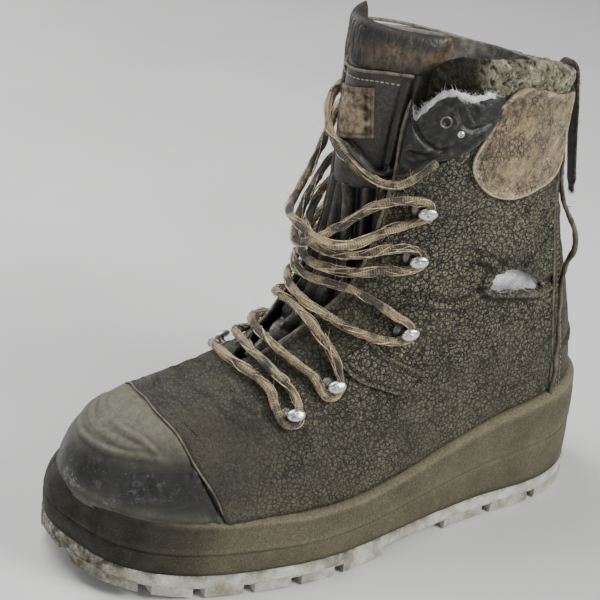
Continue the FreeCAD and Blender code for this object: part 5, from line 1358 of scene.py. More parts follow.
def make_tab(side):
    tag = "lateral" if side > 0 else "medial"
    lo = [(52.9, 5.58), (62.0, 5.02), (74.0, 4.17), (84.0, 3.5), (90.2, 3.07)]
    hi = [(59.0, 6.22), (67.5, 5.66), (78.0, 5.0), (87.5, 4.3), (94.2, 3.72)]
    ps, s = region_grid(lo, hi, 34, 110)
    b = np.linspace(0, 1, 110)[None, :] * np.ones((34, 1))
    a = np.linspace(0, 1, 34)[:, None] * np.ones(110)
    # rounded far end
    k = np.clip((b - 0.88) / 0.12, 0, 1)
    pinch = np.sqrt(np.clip(1 - k ** 2, 0, 1)) * 0.86 + 0.14
    mid_p, mid_s = (ps[0] + ps[-1]) / 2, (s[0] + s[-1]) / 2
    ps = mid_p + (ps - mid_p) * pinch
    s = mid_s + (s - mid_s) * pinch
    P, N = surf(side * ps, s), normal(side * ps, s)
    ea = np.minimum(a, 1 - a) * 17
    eb = np.minimum(1 - b, 1) * 60
    e = np.minimum(ea, eb)
    top = 1.35 if side > 0 else 1.0
    d = top + 0.15 * waves(P, 12, 71, 2) + 0.55 * bump(e - 0.8, 1.0) - 0.45 * bump(e - 3.0, 0.9)
    wear = 0.8 * bump(e - 0.7, 0.8)
    # painted shade in the dip inside the tab's raised rim
    crease_shade = 0.5 * bump(e - 3.0, 0.6)
    O = P + N * d[..., None]
    I = P + N * (0.15 + 0 * d)[..., None]
    o = shell("throat_tab_" + tag + "_leather", O, I, {"dust": 0.4 + 0 * d, "wear": np.clip(wear, 0, 1), "crease_shade": crease_shade, "smooth": 0.2 + 0 * d})
    put(o, M_BODY, "boot", ["throat_tab_" + tag])
    line = [(side * p, q) for p, q in ((55.2, 5.66), (64, 5.06), (75.4, 4.28), (86, 3.55), (90.6, 3.3), (91.5, 3.55), (86.8, 4.12), (77, 4.85), (66.2, 5.56), (60.0, 6.03))]
    put(merge("throat_tab_" + tag + "_stitching", stitches(line, d=1.3 * top / 1.35, pitch=2.8, r=0.34)), M_THREAD_D)


make_tab(1)
make_tab(-1)


def make_suede(side):
    tag = "lateral" if side > 0 else "medial"
    lo = [(77.0, 10.85), (84.0, 10.32), (93.0, 9.98), (103.3, 9.82), (118.0, 9.86), (132.1, 10.0), (137.6, 10.34)]
    hi = [(83.6, 12.16), (87.1, 12.30), (93.7, 12.5), (103.7, 12.46), (120.8, 12.22), (131.5, 12.15), (137.2, 12.1)]
    ps, s = region_grid(lo, hi, 90, 150)
    a = np.linspace(0, 1, 90)[:, None] * np.ones(150)
    b = np.linspace(0, 1, 150)[None, :] * np.ones((90, 1))
    P, N = surf(side * ps, s), normal(side * ps, s)
    e = np.minimum(np.minimum(a, 1 - a) * 44, np.minimum(b, 1 - b) * 66)
    d = 1.5 + 0.5 * waves(P, 26, 81, 2) + 0.2 * waves(P, 8, 82, 3) + 0.5 * bump(e - 1.6, 1.3) - 0.4 * bump(e - 4.2, 0.9)
    d = np.where(a > 0.93, d + 0.6 * step(a, 0.93, 1.0), d)
    wear = 0.15 + 0.8 * bump(e, 2.2) + 0.5 * step(a, 0.75, 0.2) * step(waves(P, 20, 83, 3), -0.2, 0.6)
    dust = 0.55 + 0.5 * waves(P, 24, 84, 3) + 0.45 * step(a, 0.7, 1.0) + 0.35 * step(b, 0.6, 0.2) - 0.5 * bump(e, 3.0)
    O = P + N * d[..., None]
    I = P + N * (0.2 + 0 * d)[..., None]
    o = shell("collar_suede_" + tag, O, I, {"dust": np.clip(dust, 0, 1), "wear": np.clip(wear, 0, 1)})
    put(o, M_SUEDE, "boot", ["collar_patch_" + tag])
    rim = [(side * p, q) for p, q in lo]
    rim = [(side * 83.6, 12.16), (side * 81.5, 11.6), (side * 77.2, 11.0)] + rim[1:-1] + [(side * 137.7, 10.3), (side * 137.9, 11.2), (side * 137.3, 12.1)]
    parts = [bead("b", rim, r=0.75, d=1.25, wob=0.15, n=420, seed=85, wear=0.95)]
    put(merge("collar_suede_" + tag + "_piping", parts), M_PIPE_TAN)
    st = stitches([(side * p, q) for p, q in ((81.0, 11.0), (86.0, 10.52), (94.0, 10.18), (103.5, 10.03), (118.0, 10.06), (131.0, 10.18), (135.6, 10.42))], d=1.55, pitch=2.7, r=0.34)
    put(merge("collar_suede_" + tag + "_stitching", st), M_THREAD)


make_suede(1)
make_suede(-1)


# ------------------------------------------------------------------ collar: foam, lining, far edge
def ring_grid(lo, hi, rows, cols):
    return region_grid(lo, hi, rows, cols)


def make_collar():
    # open foam along the near side, where its cover is worn off
    lo = [(49.0, 10.9), (80.0, 10.9), (110.0, 10.9), (140.0, 10.9), (180.0, 10.9), (215.0, 10.9)]
    hi = [(51.0, 12.62), (57.0, 12.93), (64.0, 13.02), (72.4, 13.02), (92.7, 13.0), (110.0, 12.92), (128.5, 12.78), (150.0, 12.45), (180.0, 12.25), (215.0, 12.2)]
    ps, s = region_grid(lo, hi, 70, 380)
    a = np.linspace(0, 1, 70)[:, None] * np.ones(380)
    P, N = surf(ps, s), normal(ps, s)
    n1, n2 = waves(P, 16, 91, 3), waves(P, 5, 92, 3)
    torn = step(a, 0.45, 0.8)
    d = -2.6 + torn * (0.5 + 1.3 * n1 + 0.7 * n2)
    d += 1.2 * bump(a - 0.86, 0.1)
    d -= 1.6 * step(a, 0.94, 1.0)
    di = -6.4 + torn * (0.6 * n1 + 0.4 * n2) + 1.6 * step(a, 0.9, 1.0)
    z = (1.4 * n1 + 0.9 * n2)[-1] * 0.7
    up = np.array([0, 0, 1.0])
    O = P + N * d[..., None] + up * (z[None, :] * step(a, 0.7, 1.0))[..., None]
    I = P + N * di[..., None] + up * (z[None, :] * step(a, 0.7, 1.0))[..., None]
    # painted shade in the dips of the torn foam and over its front end under the flap
    crease_shade = np.clip(0.9 * step(-n2, 0.15, 0.7) * torn + 0.95 * step(ps, 86, 68), 0, 0.94)
    o = shell("collar_foam_open", O, I, {"crease_shade": crease_shade, "dust": 0.5 + 0 * d})
    put(o, M_FOAM, "boot", ["collar_foam"])
    # far side collar still has its leather cover: a rolled padded edge
    lo = [(216.0, 11.0), (240.0, 11.0), (270.0, 11.1), (295.0, 11.2), (318.0, 11.4)]
    hi = [(216.0, 12.15), (240.0, 12.35), (270.0, 12.6), (295.0, 12.78), (316.0, 12.9)]
    ps, s = region_grid(lo, hi, 46, 220)
    a = np.linspace(0, 1, 46)[:, None] * np.ones(220)
    P, N = surf(ps, s), normal(ps, s)
    roll = np.sqrt(np.clip(1 - ((a - 0.55) / 0.45).clip(0, 1) ** 2, 0, 1))
    d = -2.4 - 1.9 * (1 - roll) + 0.25 * waves(P, 12, 93, 3)
    di = -6.3 + 1.9 * (1 - roll)
    O, I = P + N * d[..., None], P + N * di[..., None]
    o = shell("collar_pad_medial", O, I, {"wear": 0.7 * bump(a - 0.95, 0.06), "dust": 0.2 + 0 * d, "crease_shade": 0 * d})
    put(o, M_SMOOTH)
    # light worn edge along the far collar
    e = [bead("e", [(216, 12.05), (240, 12.3), (270, 12.62), (295, 12.85), (312, 12.95), (321.5, 12.98)], r=0.9, d=-1.0, wob=0.2, n=300, seed=94, wear=1.0)]
    put(merge("collar_edge_medial", e), M_PIPE)
    # shaft lining, seen over the far edge and through the leg opening
    lo = [(30.0, 5.3), (70.0, 5.2), (120.0, 5.1), (180.0, 5.1), (240.0, 5.1), (290.0, 5.2), (330.0, 5.3)]
    hi = [(52.0, 12.45), (60.0, 12.65), (72.0, 12.88), (95.0, 12.86), (125.0, 12.7), (150.0, 12.42), (180.0, 12.2), (240.0, 12.38), (288.0, 12.75), (303.0, 12.85), (312.0, 12.8)]
    ps, s = region_grid(lo, hi, 120, 360)
    P, N = surf(ps, s), normal(ps, s)
    w = waves(P, 30, 95, 3)
    sag = 0.9 * w + 0.35 * waves(P, 9, 96, 2)
    I = P + N * (-7.4 + sag)[..., None]
    O = P + N * (-6.5 + sag * 0.6)[..., None]
    # the lining is painted darker below the rim and lighter along it
    dust = np.clip(0.75 + 0.4 * waves(P, 40, 97, 3) - 0.7 * step(s, 12.3, 12.75), 0, 1)
    o = shell("shaft_lining", O, I, {"dust": dust})
    put(o, M_LINING, "boot", ["lining_shaft"])
    # foot lining, deep inside
    lo = [(58.0, 0.4), (90.0, 0.3), (130.0, 0.3), (180.0, 0.3), (230.0, 0.3), (270.0, 0.3), (302.0, 0.4)]
    hi = [(26.0, 5.6), (60.0, 5.45), (110.0, 5.35), (180.0, 5.35), (250.0, 5.35), (300.0, 5.45), (334.0, 5.6)]
    ps, s = region_grid(lo, hi, 70, 220)
    P, N = surf(ps, s), normal(ps, s)
    w = 0.5 * waves(P, 26, 98, 2)
    o = shell("foot_lining", P + N * (-5.4 + w)[..., None], P + N * (-7.0 + w)[..., None], {"dust": 0.8 + 0 * w})
    put(o, M_LINING_D, "boot", ["lining_foot_lateral", "lining_foot_medial"])
    lo = [(60.0, 0.4), (36.0, 1.2), (0.0, 1.5), (-36.0, 1.2), (-60.0, 0.4)]
    ps, s = region_grid([(56.0, 0.4), (44.0, 1.1), (28.0, 2.1), (0.0, 2.9), (-28.0, 2.1), (-44.0, 1.1), (-56.0, 0.4)], [(66.0, 1.0), (44.0, 2.8), (22.0, 4.5), (0.0, 5.1), (-22.0, 4.5), (-44.0, 2.8), (-66.0, 1.0)], 50, 200)
    P, N = surf(ps, s), normal(ps, s)
    w = 0.4 * waves(P, 26, 99, 2)
    o = shell("vamp_lining", P + N * (-5.4 + w)[..., None], P + N * (-6.9 + w)[..., None], {"dust": 0.8 + 0 * w})
    put(o, M_LINING_D, "boot", ["lining_vamp"])
    # warm layer between leather and lining, seen through the tear
    for side, tag in ((1, "lateral"), (-1, "medial")):
        lo = [(62.0, 1.2), (85.0, 1.2), (108.0, 1.2), (138.0, 1.2)]
        hi = [(46.0, 10.6), (75.0, 10.6), (105.0, 10.6), (139.0, 10.6)]
        ps, s = region_grid(lo, hi, 150, 110)
        P, N = surf(side * ps, s), normal(side * ps, s)
        w = 0.25 * waves(P, 14, 101, 3)
        pull = np.zeros_like(w)
        if side > 0:
            c, _ = near(P, on_surf([(101, 7.15), (112, 6.88), (124, 6.4), (129, 5.85)]))
            ripple = waves(P * np.array([1, 1, 0.6]), 6, 102, 3)
            pull = (1.9 + 1.0 * ripple) * bump(c, 6.0)
        # lighter where pulled out into the tear, darker round it: grime with painted shade under the tear's lips
        o = shell("warm_layer_" + tag, P + N * (-3.4 + w + pull)[..., None], P + N * (-5.1 + w * 0.4)[..., None], {"dust": np.clip(0.55 - pull * 0.35, 0, 1)})
        put(o, M_TORN if side > 0 else M_FLEECE, "boot", ["insulation_foot_" + tag, "insulation_shaft_" + tag])


make_collar()


# ------------------------------------------------------------------ footbed
def make_footbed():
    lo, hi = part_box("footbed")
    n, m = 120, 44
    yy = np.linspace(lo.y * 1000 + 1.0, hi.y * 1000 - 1.0, n) - SHIFT[1]
    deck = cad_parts["footbed"]
    co = np.zeros(len(deck.data.vertices) * 3)
    deck.data.vertices.foreach_get("co", co)
    co = co.reshape(-1, 3) * 1000 - SHIFT
    z_at = np.polyfit(co[:, 1], co[:, 2], 1)
    step_y = (yy[-1] - yy[0]) / (n - 1) * 2.5
    xa, xb = np.zeros(n), np.zeros(n)
    ang = np.linspace(-180, 180, 721)
    ring = off(ang, np.full(721, 0.12), np.full(721, -8.6))
    for i, y in enumerate(yy):
        k = np.abs(ring[:, 1] - y) < max(step_y, 3.0)
        r = ring[k] if k.any() else ring[[np.argmin(np.abs(ring[:, 1] - y))]]
        xa[i], xb[i] = r[:, 0].min(), r[:, 0].max()
    w = np.clip(np.minimum(yy - yy[0], yy[-1] - yy) / 22.0, 0, 1)
    round_ = np.sqrt(np.clip(1 - (1 - w) ** 2, 0.0, 1)) * 0.96 + 0.04
    mid = (xa + xb) / 2
    xa, xb = mid + (xa - mid) * round_, mid + (xb - mid) * round_
    b = np.linspace(0, 1, m)[None, :]
    X = xa[:, None] + (xb - xa)[:, None] * b
    Y = yy[:, None] * np.ones(m)
    base = z_at[0] * Y + z_at[1]
    e = np.minimum(b, 1 - b) * (xb - xa)[:, None]
    P0 = np.stack([X, Y, base], -1)
    crown = 1.2 * bump(e, 6.0) - 0.9 * step(e, 6, 20) + 0.25 * waves(P0, 22, 111, 3)
    top = np.stack([X, Y, base + 1.5 + crown], -1)
    low = np.stack([X, Y, base - 1.6 + 0 * X], -1)
    o = shell("footbed_pad", top, low, {"dust": np.clip(0.5 + 0.5 * waves(P0, 30, 112, 2), 0, 1)})
    put(o, M_BED, "boot", ["footbed"])


make_footbed()

# ------------------------------------------------------------------ tongue
EK = np.array([5.5, 6.0, 7.0, 8.0, 9.0, 10.0, 11.0, 12.0, 13.0, 14.0])
EV = np.array([11.0, 15.0, 26.0, 36.6, 39.5, 41.0, 43.0, 46.0, 48.0, 49.0])
EM = spline_m(EK, EV)
edge_at = lambda s: spline_v(EK, EV, EM, np.clip(s, 5.5, 14.0))[..., 0]


def tongue_grid(s0, s1, rows, cols, k0=1.2, k1=1.2, s1b=None):
    a = np.linspace(0, 1, rows)[:, None] * np.ones(cols)
    b = np.linspace(0, 1, cols)[None, :] * np.ones((rows, 1))
    hi = s1 if s1b is None else s1 + (s1b - s1) * b
    s = s0 + (hi - s0) * a
    w = edge_at(s) + 2.0
    ps = (-k0 + (k1 + k0) * b) * w
    return a, b, ps, s, -6.2 * (ps / w) ** 2


def make_tongue():
    # soft folded leather under the laces
    a, b, ps, s, bow = tongue_grid(5.74, 10.25, 190, 150)
    P, N = surf(ps, s), normal(ps, s)
    d = -2.6 + bow + 0.35 * waves(P, 14, 121, 3)
    crease_shade = np.zeros_like(d)
    wear = np.zeros_like(d)
    # the fold ridges are painted lighter with the wear colour as a painted highlight; painted shade lies in the trough
    # beside each
    for pts, h, w in (([(10, 10.2), (17, 9.4), (27, 8.4), (36, 7.3)], 2.4, 2.6), ([(-14, 10.2), (-12, 9.0), (-10, 8.0), (-7, 7.0)], 1.8, 3.0), ([(27, 10.2), (30, 9.3), (34, 8.6)], 1.9, 2.4), ([(0, 10.2), (2, 9.2), (6, 8.0), (8, 6.8)], 1.3, 2.6)):
        dist, at = near(P, on_surf(pts))
        d += h * bump(dist, w) - 0.75 * h * bump(dist - 5.2, 2.4)
        wear += 0.45 * bump(dist, 1.3)
        crease_shade += 0.7 * bump(dist - 5.0, 1.6)
    for lvl in (6.4, 7.1, 7.9, 8.8, 9.5):
        k = (s - lvl - 0.12 * np.sin(ps / 9.0)) * 20
        d -= 0.7 * bump(k, 1.4) * step(waves(P, 30, 122, 1), -0.4, 0.5)
        # painted shade in each cross wrinkle
        crease_shade += 0.25 * bump(k, 0.9)
    thick = 2.2
    o = shell("tongue_folds", P + N * d[..., None], P + N * (d - thick)[..., None], {"crease_shade": np.clip(crease_shade, 0, 0.9), "wear": np.clip(wear, 0, 1), "dust": np.clip(0.2 + 0.4 * waves(P, 22, 123, 2), 0, 1)})
    put(o, M_TONGUE, "boot", ["tongue_bellows"])
    # padded panel
    a, b, ps, s, bow = tongue_grid(10.2, 12.6, 110, 150)
    P, N = surf(ps, s), normal(ps, s)
    d = -1.6 + bow + 0.25 * waves(P, 18, 124, 2)
    e = np.minimum(np.minimum(a, 1 - a) * 48, 100)
    d += 0.9 * np.sqrt(np.clip(1 - (1 - np.clip(e / 7.0, 0, 1)) ** 2, 0, 1)) - 0.9
    low, _ = near(P, on_surf([(-14, 11.05), (2, 11.08), (23.6, 10.72), (37.1, 10.57), (44, 10.7)]))
    d += 1.3 * bump(low, 1.2) - 1.1 * bump(low - 3.0, 1.3)
    # painted shade in the groove under the panel's bottom ridge
    crease_shade = 0.75 * bump(low - 2.6, 1.0)
    wear = 0.8 * bump(low, 0.9)
    side_l, _ = near(P, on_surf([(38.5, 10.7), (39.2, 11.6), (41.0, 12.5)]))
    d += 0.7 * bump(side_l, 1.2) - 0.8 * bump(side_l - 3, 1.3)
    crease_shade += 0.5 * bump(side_l - 2.8, 0.9)
    o = shell("tongue_panel_pad", P + N * d[..., None], P + N * (d - 4.4)[..., None], {"crease_shade": np.clip(crease_shade, 0, 0.9), "wear": np.clip(wear, 0, 1), "dust": 0.15 + 0 * d})
    put(o, M_TONGUE, "boot", ["tongue_panel"])
    # worn woven label with four holes, made as dents with painted shade in them, no lettering
    quad = np.array([(-22.0, 12.02), (21.5, 12.26), (26.2, 11.32), (1.0, 11.16)])
    n, m = 60, 90
    u, v = np.linspace(0, 1, m)[None, :, None], np.linspace(0, 1, n)[:, None, None]
    top = quad[0] + (quad[1] - quad[0]) * u
    lowq = np.array([(-9.0, 11.1)]) + (quad[2] - np.array([(-9.0, 11.1)])) * u
    g = lowq + (top - lowq) * v
    ps, s = g[..., 0], g[..., 1]
    bow = -6.2 * (ps / (edge_at(s) + 2)) ** 2
    P, N = surf(ps, s), normal(ps, s)
    e = np.minimum(np.minimum(u, 1 - u)[..., 0] * 34, np.minimum(v, 1 - v)[..., 0] * 19)
    d = -0.7 + bow + 0.12 * waves(P, 10, 125, 2) + 0.35 * bump(e - 0.6, 0.9)
    holes = np.zeros_like(d)
    for k in range(4):
        f = 0.18 + 0.64 * k / 3
        c = lowq[0, int(0.86 * (m - 1))] + (top[0, int(0.86 * (m - 1))] - lowq[0, int(0.86 * (m - 1))]) * f
        c = surf(np.array(c[0]), np.array(c[1]))
        holes += bump(np.linalg.norm(P - c, axis=-1), 1.35)
    for k in range(3):
        f = 0.3 + 0.2 * k
        q0 = surf(np.array(lowq[0, 14, 0]), np.array(lowq[0, 14, 1] + (top[0, 14, 1] - lowq[0, 14, 1]) * f))
        q1 = surf(np.array(lowq[0, 62, 0]), np.array(lowq[0, 62, 1] + (top[0, 62, 1] - lowq[0, 62, 1]) * f))
        dist, _ = near(P, np.array([q0, (q0 + q1) / 2, q1]))
        d += 0.3 * bump(dist, 0.9)
    d -= 0.9 * np.clip(holes, 0, 1)
    # painted shade in the four dented holes and along the label's edges
    o = shell("tongue_label_patch", P + N * d[..., None], P + N * (-1.75 + bow)[..., None], {"crease_shade": np.clip(holes * 1.2 + 0.6 * bump(e - 1.7, 0.5) + 0.35 * bump(e, 0.8), 0, 1)})
    put(o, M_LABEL, "boot", ["tongue_label"])
    # padded roll along the top
    a, b, ps, s, bow = tongue_grid(12.52, 13.42, 76, 190, k0=0.7, k1=1.2, s1b=13.25)
    P, N = surf(ps, s), normal(ps, s)
    fat = np.sqrt(np.clip(1 - (2 * a - 1) ** 4, 0, 1))
    fat_b = np.sqrt(np.clip(1 - np.abs(2 * b - 1) ** 9, 0, 1))
    n1 = waves(P, 20, 126, 2)
    wr = np.abs(waves(P * np.array([1.7, 1.7, 0.6]), 11, 127, 2))
    d_mid = -4.4 + bow
    half = (4.0 + 0.5 * n1) * fat * fat_b + 0.25
    fine = 0.4 * (1 - step(wr, 0.02, 0.3))
    O = P + N * (d_mid + half - fine * fat)[..., None]
    I = P + N * (d_mid - half)[..., None]
    wear = np.clip(0.35 * waves(P, 24, 128, 3) + 0.8 * bump(a - 0.5, 0.2) * step(b, 0.3, 0.8) + 0.5 * step(b, 0.86, 1.0), 0, 1)
    # painted shade in the roll's wrinkles and along its lower edge
    crease_shade = np.clip(0.5 * (1 - step(wr, 0, 0.07)) + 0.6 * bump(a, 0.05), 0, 0.8)
    o = shell("tongue_roll_pad", O, I, {"wear": wear, "crease_shade": crease_shade, "dust": np.clip(0.3 * waves(P, 15, 129, 2), 0, 1)})
    paint(o, M_ROLL)
    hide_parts("tongue_roll")
    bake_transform(o)
    # stitched seam below the roll
    c = curve([(-30, 12.5), (-10, 12.46), (10, 12.5), (28, 12.56), (43, 12.55)])(np.linspace(0, 1, 260))
    bw = -6.2 * (c[:, 0] / (edge_at(c[:, 1]) + 2)) ** 2
    Pl = off(c[:, 0], c[:, 1], bw - 1.0)
    v, q, t3, at = tube("seam", Pl, 0.8 * (1 + 0.15 * waves(Pl, 6, 130)), sides=10, attrs={"wear": np.full(260, 0.8), "dust": np.full(260, 0.3)})
    put(merge("tongue_seam_bead", [(v, q, t3, at)]), M_PIPE_DARK)
    st = stitches([(-28, 12.36), (-10, 12.32), (10, 12.35), (27, 12.41), (38, 12.42)], d=-0.9, pitch=2.6, r=0.33)
    put(merge("tongue_seam_stitching", st), M_THREAD)


make_tongue()


# ------------------------------------------------------------------ torn flap and exposed lining at the collar
def make_flap():
    lo = [(42.6, 10.62), (50.0, 10.72), (57.1, 10.98), (66.0, 11.1), (74.0, 11.3), (81.9, 11.66), (85.5, 12.0)]
    hi = [(44.5, 12.18), (46.8, 11.95), (52.2, 12.2), (60.5, 12.42), (70.0, 12.36), (78.0, 12.42), (85.5, 12.36)]
    ps, s = region_grid(lo, hi, 80, 170)
    a = np.linspace(0, 1, 80)[:, None] * np.ones(170)
    b = np.linspace(0, 1, 170)[None, :] * np.ones((80, 1))
    P, N = surf(ps, s), normal(ps, s)
    n1, n2 = waves(P, 18, 141, 2), waves(P, 7, 142, 2)
    bulge = np.sin(math.pi * np.clip(a * 0.86 + 0.06, 0, 1)) ** 0.8 * np.sin(math.pi * np.clip(b, 0.02, 0.98)) ** 0.5
    d = 0.9 + 4.6 * bulge + 0.5 * n1 + 0.2 * n2
    for pts, h in (([(45, 11.9), (52, 11.5), (62, 11.3), (76, 11.6)], 1.0), ([(47, 11.2), (56, 11.2), (66, 11.5)], 0.8), ([(64, 12.2), (70, 11.8), (80, 11.9)], 0.9)):
        dist, at = near(P, on_surf(pts))
        d += -h * bump(dist, 1.3) + 0.5 * h * bump(dist - 3, 1.6)
    # eyelet
    c = surf(np.array(59.9), np.array(11.93))
    r = np.linalg.norm(P - c, axis=-1)
    d += -1.0 * bump(r, 1.8)
    rag = (0.9 * waves(P, 5, 143, 3) + 1.1 * n1)[-1]
    up = np.array([0, 0, 1.0])
    shift = up * (rag[None, :] * step(a, 0.75, 1.0))[..., None]
    O = P + N * d[..., None] + shift
    I = P + N * (d - 1.6)[..., None] + shift
    wear = np.clip(0.9 * step(a, 0.93, 1.0) + 0.25 * n2 + 0.4 * bump(a, 0.04), 0, 1)
    # painted shade in the eyelet hole
    o = shell("collar_flap_torn", O, I, {"wear": wear, "dust": np.clip(0.15 * n1, 0, 1), "crease_shade": np.clip(0.7 * bump(r, 1.2), 0, 0.9)})
    put(o, M_SMOOTH, "boot", ["collar_flap"])
    # eyelet ring and the pale stud beside it
    nn = normal(np.array(59.9), np.array(11.93))
    dd = float(np.interp(11.93, [11.0, 12.4], [4.6, 3.6]))
    t = np.linspace(0, 2 * math.pi, 40)
    e1 = np.cross(nn, [0, 0, 1.0])
    e1 /= np.linalg.norm(e1)
    e2 = np.cross(nn, e1)
    k = np.argmin(r)
    centre = O.reshape(-1, 3)[k]
    ringp = centre + nn * 1.0 + 2.6 * (np.cos(t)[:, None] * e1 + np.sin(t)[:, None] * e2)
    put(tube_object("flap_eyelet", ringp, 0.55, sides=8, caps=False), M_HOOK_D)
    c2 = surf(np.array(66.7), np.array(11.71))
    k2 = np.argmin(np.linalg.norm(P - c2, axis=-1))
    p0 = O.reshape(-1, 3)[k2]
    n2_ = normal(np.array(66.7), np.array(11.71))
    h = np.linspace(-0.6, 1.1, 8)
    prof = np.sqrt(np.clip(1 - (np.clip(h, 0, 2) / 1.15) ** 2, 0.05, 1))
    put(tube_object("flap_stud", p0 + n2_ * h[:, None], 1.9 * prof, sides=18), M_HOOK)
    # lining torn out over the flap's top edge, with loose fibres
    T = O[-1] * 0.5 + I[-1] * 0.5
    m = 60
    idx = np.linspace(6, 150, m).astype(int)
    parts = []
    r4 = np.random.default_rng(44)
    rows = 14
    base = T[idx]
    NN = N[-1][idx]
    w = waves(base, 9, 144, 3)
    u = np.linspace(0, 1, rows)[:, None]
    hgt = 3.4 + 1.8 * w
    G = base[None] + up * (u * hgt[None] - 2.2)[..., None] + NN[None] * ((0.9 * np.sin(u * 3.0) + 0.7 * waves(base, 5, 145)[None]) * 1.4 + 0.2)[..., None]
    # the torn lining is painted darker toward its root and lighter toward the torn top
    o = shell("flap_torn_lining", G + NN[None] * 0.55, G - NN[None] * 0.55, {"dust": np.clip(0.55 - 0.5 * u + 0 * G[..., 0], 0, 1)})
    put(o, M_TORN)
    for k in range(300):
        i = int(r4.integers(0, m))
        j = int(r4.integers(6, rows))
        p = G[j, i]
        dirn = up * r4.uniform(0.2, 1.0) + NN[i] * r4.uniform(-0.6, 1.0) + r4.normal(size=3) * 0.5
        dirn /= np.linalg.norm(dirn)
        ln = r4.uniform(1.2, 4.0)
        tt = np.linspace(0, 1, 5)
        parts.append(tube("f", p + dirn * (ln * tt)[:, None] + r4.normal(size=3) * 0.5 * (tt ** 2)[:, None], 0.13 * (1.1 - tt), sides=3))
    put(merge("flap_torn_fibres", parts), M_TORN)


make_flap()


# ------------------------------------------------------------------ tear fibres, edges, piping, strap
def make_edges():
    r5 = np.random.default_rng(55)
    rim = curve(HOLE + HOLE[:1])(np.linspace(0, 1, 400))
    parts = []
    for k in range(420):
        i = int(r5.integers(0, 400))
        p = off(rim[i, 0], rim[i, 1], np.array(r5.uniform(-1.8, 1.2)))
        n = normal(rim[i, 0], rim[i, 1])
        inward = surf(np.array(113.0), np.array(6.6)) - p
        inward /= np.linalg.norm(inward)
        dirn = inward * r5.uniform(0.2, 1.0) + n * r5.uniform(-0.2, 0.8) + r5.normal(size=3) * 0.35
        dirn /= np.linalg.norm(dirn)
        ln = r5.uniform(1.0, 4.2)
        t = np.linspace(0, 1, 5)
        parts.append(tube("f", p + dirn * (ln * t)[:, None] + r5.normal(size=3) * 0.6 * (t ** 2)[:, None], 0.14 * (1.15 - t), sides=3))
    put(merge("tear_fibres", parts), M_TORN)
    # near edge of the shaft in front of the tongue, and its worn piping
    parts = [bead("a", [(12.8, 5.86), (19.5, 6.4), (25.6, 7.0), (36.0, 8.0), (39.0, 9.0), (40.6, 10.0), (42.2, 10.7), (41.6, 11.4), (43.4, 12.2)], r=0.95, d=0.2, wob=0.25, n=420, seed=151, wear=0.7)]
    parts += [bead("b", [(-12.8, 5.86), (-19.5, 6.4), (-25.6, 7.0), (-36.2, 8.0), (-37.6, 9.0), (-37.8, 10.0), (-37.3, 12.9)], r=0.95, d=0.2, wob=0.25, n=420, seed=152, wear=0.8)]
    put(merge("facing_edges", parts), M_PIPE_DARK)
    # stitching along the facings and the ankle seams
    st = []
    for side in (1, -1):
        f = [(side * p, q) for p, q in ((17.5, 5.85), (25.0, 6.5), (31.0, 7.1), (40.0, 8.0), (43.0, 9.0), (44.6, 10.0))]
        st += stitches(f, d=0.5, pitch=3.0, r=0.33)
        st += stitches([(side * p, q) for p, q in ((61, 7.62), (74, 7.28), (87, 6.88), (94, 6.86))], d=0.5, pitch=3.0, r=0.33)
    st += stitches([(-96, 6.95), (-112, 6.75), (-126, 6.48), (-138, 6.4)], d=0.5, pitch=3.0, r=0.33)
    put(merge("upper_stitching", st), M_THREAD_D)
    # peeled binding that stands off the heel seam
    c = curve([(141.0, 1.3), (143.4, 2.6), (145.2, 4.4), (146.8, 5.6), (147.6, 6.6), (147.4, 7.6), (146.0, 8.7), (143.4, 9.9), (139.8, 10.5)])(np.linspace(0, 1, 260))
    lift = 0.9 + 8.6 * np.exp(-((c[:, 1] - 7.3) / 1.3) ** 2)
    P = off(c[:, 0], c[:, 1], lift)
    N = normal(c[:, 0], c[:, 1])
    P = P + N * (0.5 * waves(P, 16, 153, 2))[:, None]
    v, q, t3, at = tube("peel", P, 1.55 * (1 + 0.18 * waves(P, 9, 154, 2)), sides=14, attrs={"wear": np.clip(0.4 + 0.6 * waves(P, 14, 155, 2), 0, 1), "dust": np.full(260, 0.3)}, profile=lambda i, an: 1 + 0.35 * np.cos(2 * an + 0.6) + 0.08 * np.sin(5 * an + i * 0.21))
    o = merge("back_binding_peeled", [(v, q, t3, at)])
    put(o, M_PIPE_DARK, "boot", ["back_piping"])
    parts = []
    for k in range(160):
        i = int(r5.integers(0, 260))
        dirn = r5.normal(size=3)
        dirn /= np.linalg.norm(dirn)
        t = np.linspace(0, 1, 5)
        parts.append(tube("f", P[i] + dirn * (1.1 + r5.uniform(1, 3.4) * t)[:, None], 0.12 * (1.15 - t), sides=3))
    put(merge("back_binding_fibres", parts), M_THREAD_D)
    # bare seam edges behind it
    parts = [bead("c", [(s_ * 141.4, 0.6), (s_ * 141.1, 3.0), (s_ * 140.7, 5.0), (s_ * 140.2, 6.6), (s_ * 139.4, 9.0), (s_ * 138.9, 11.6)], r=0.8, d=0.35, wob=0.15, n=420, seed=156, wear=0.5) for s_ in (1, -1)]
    put(merge("heel_seam_beads", parts), M_PIPE_DARK)


make_edges()


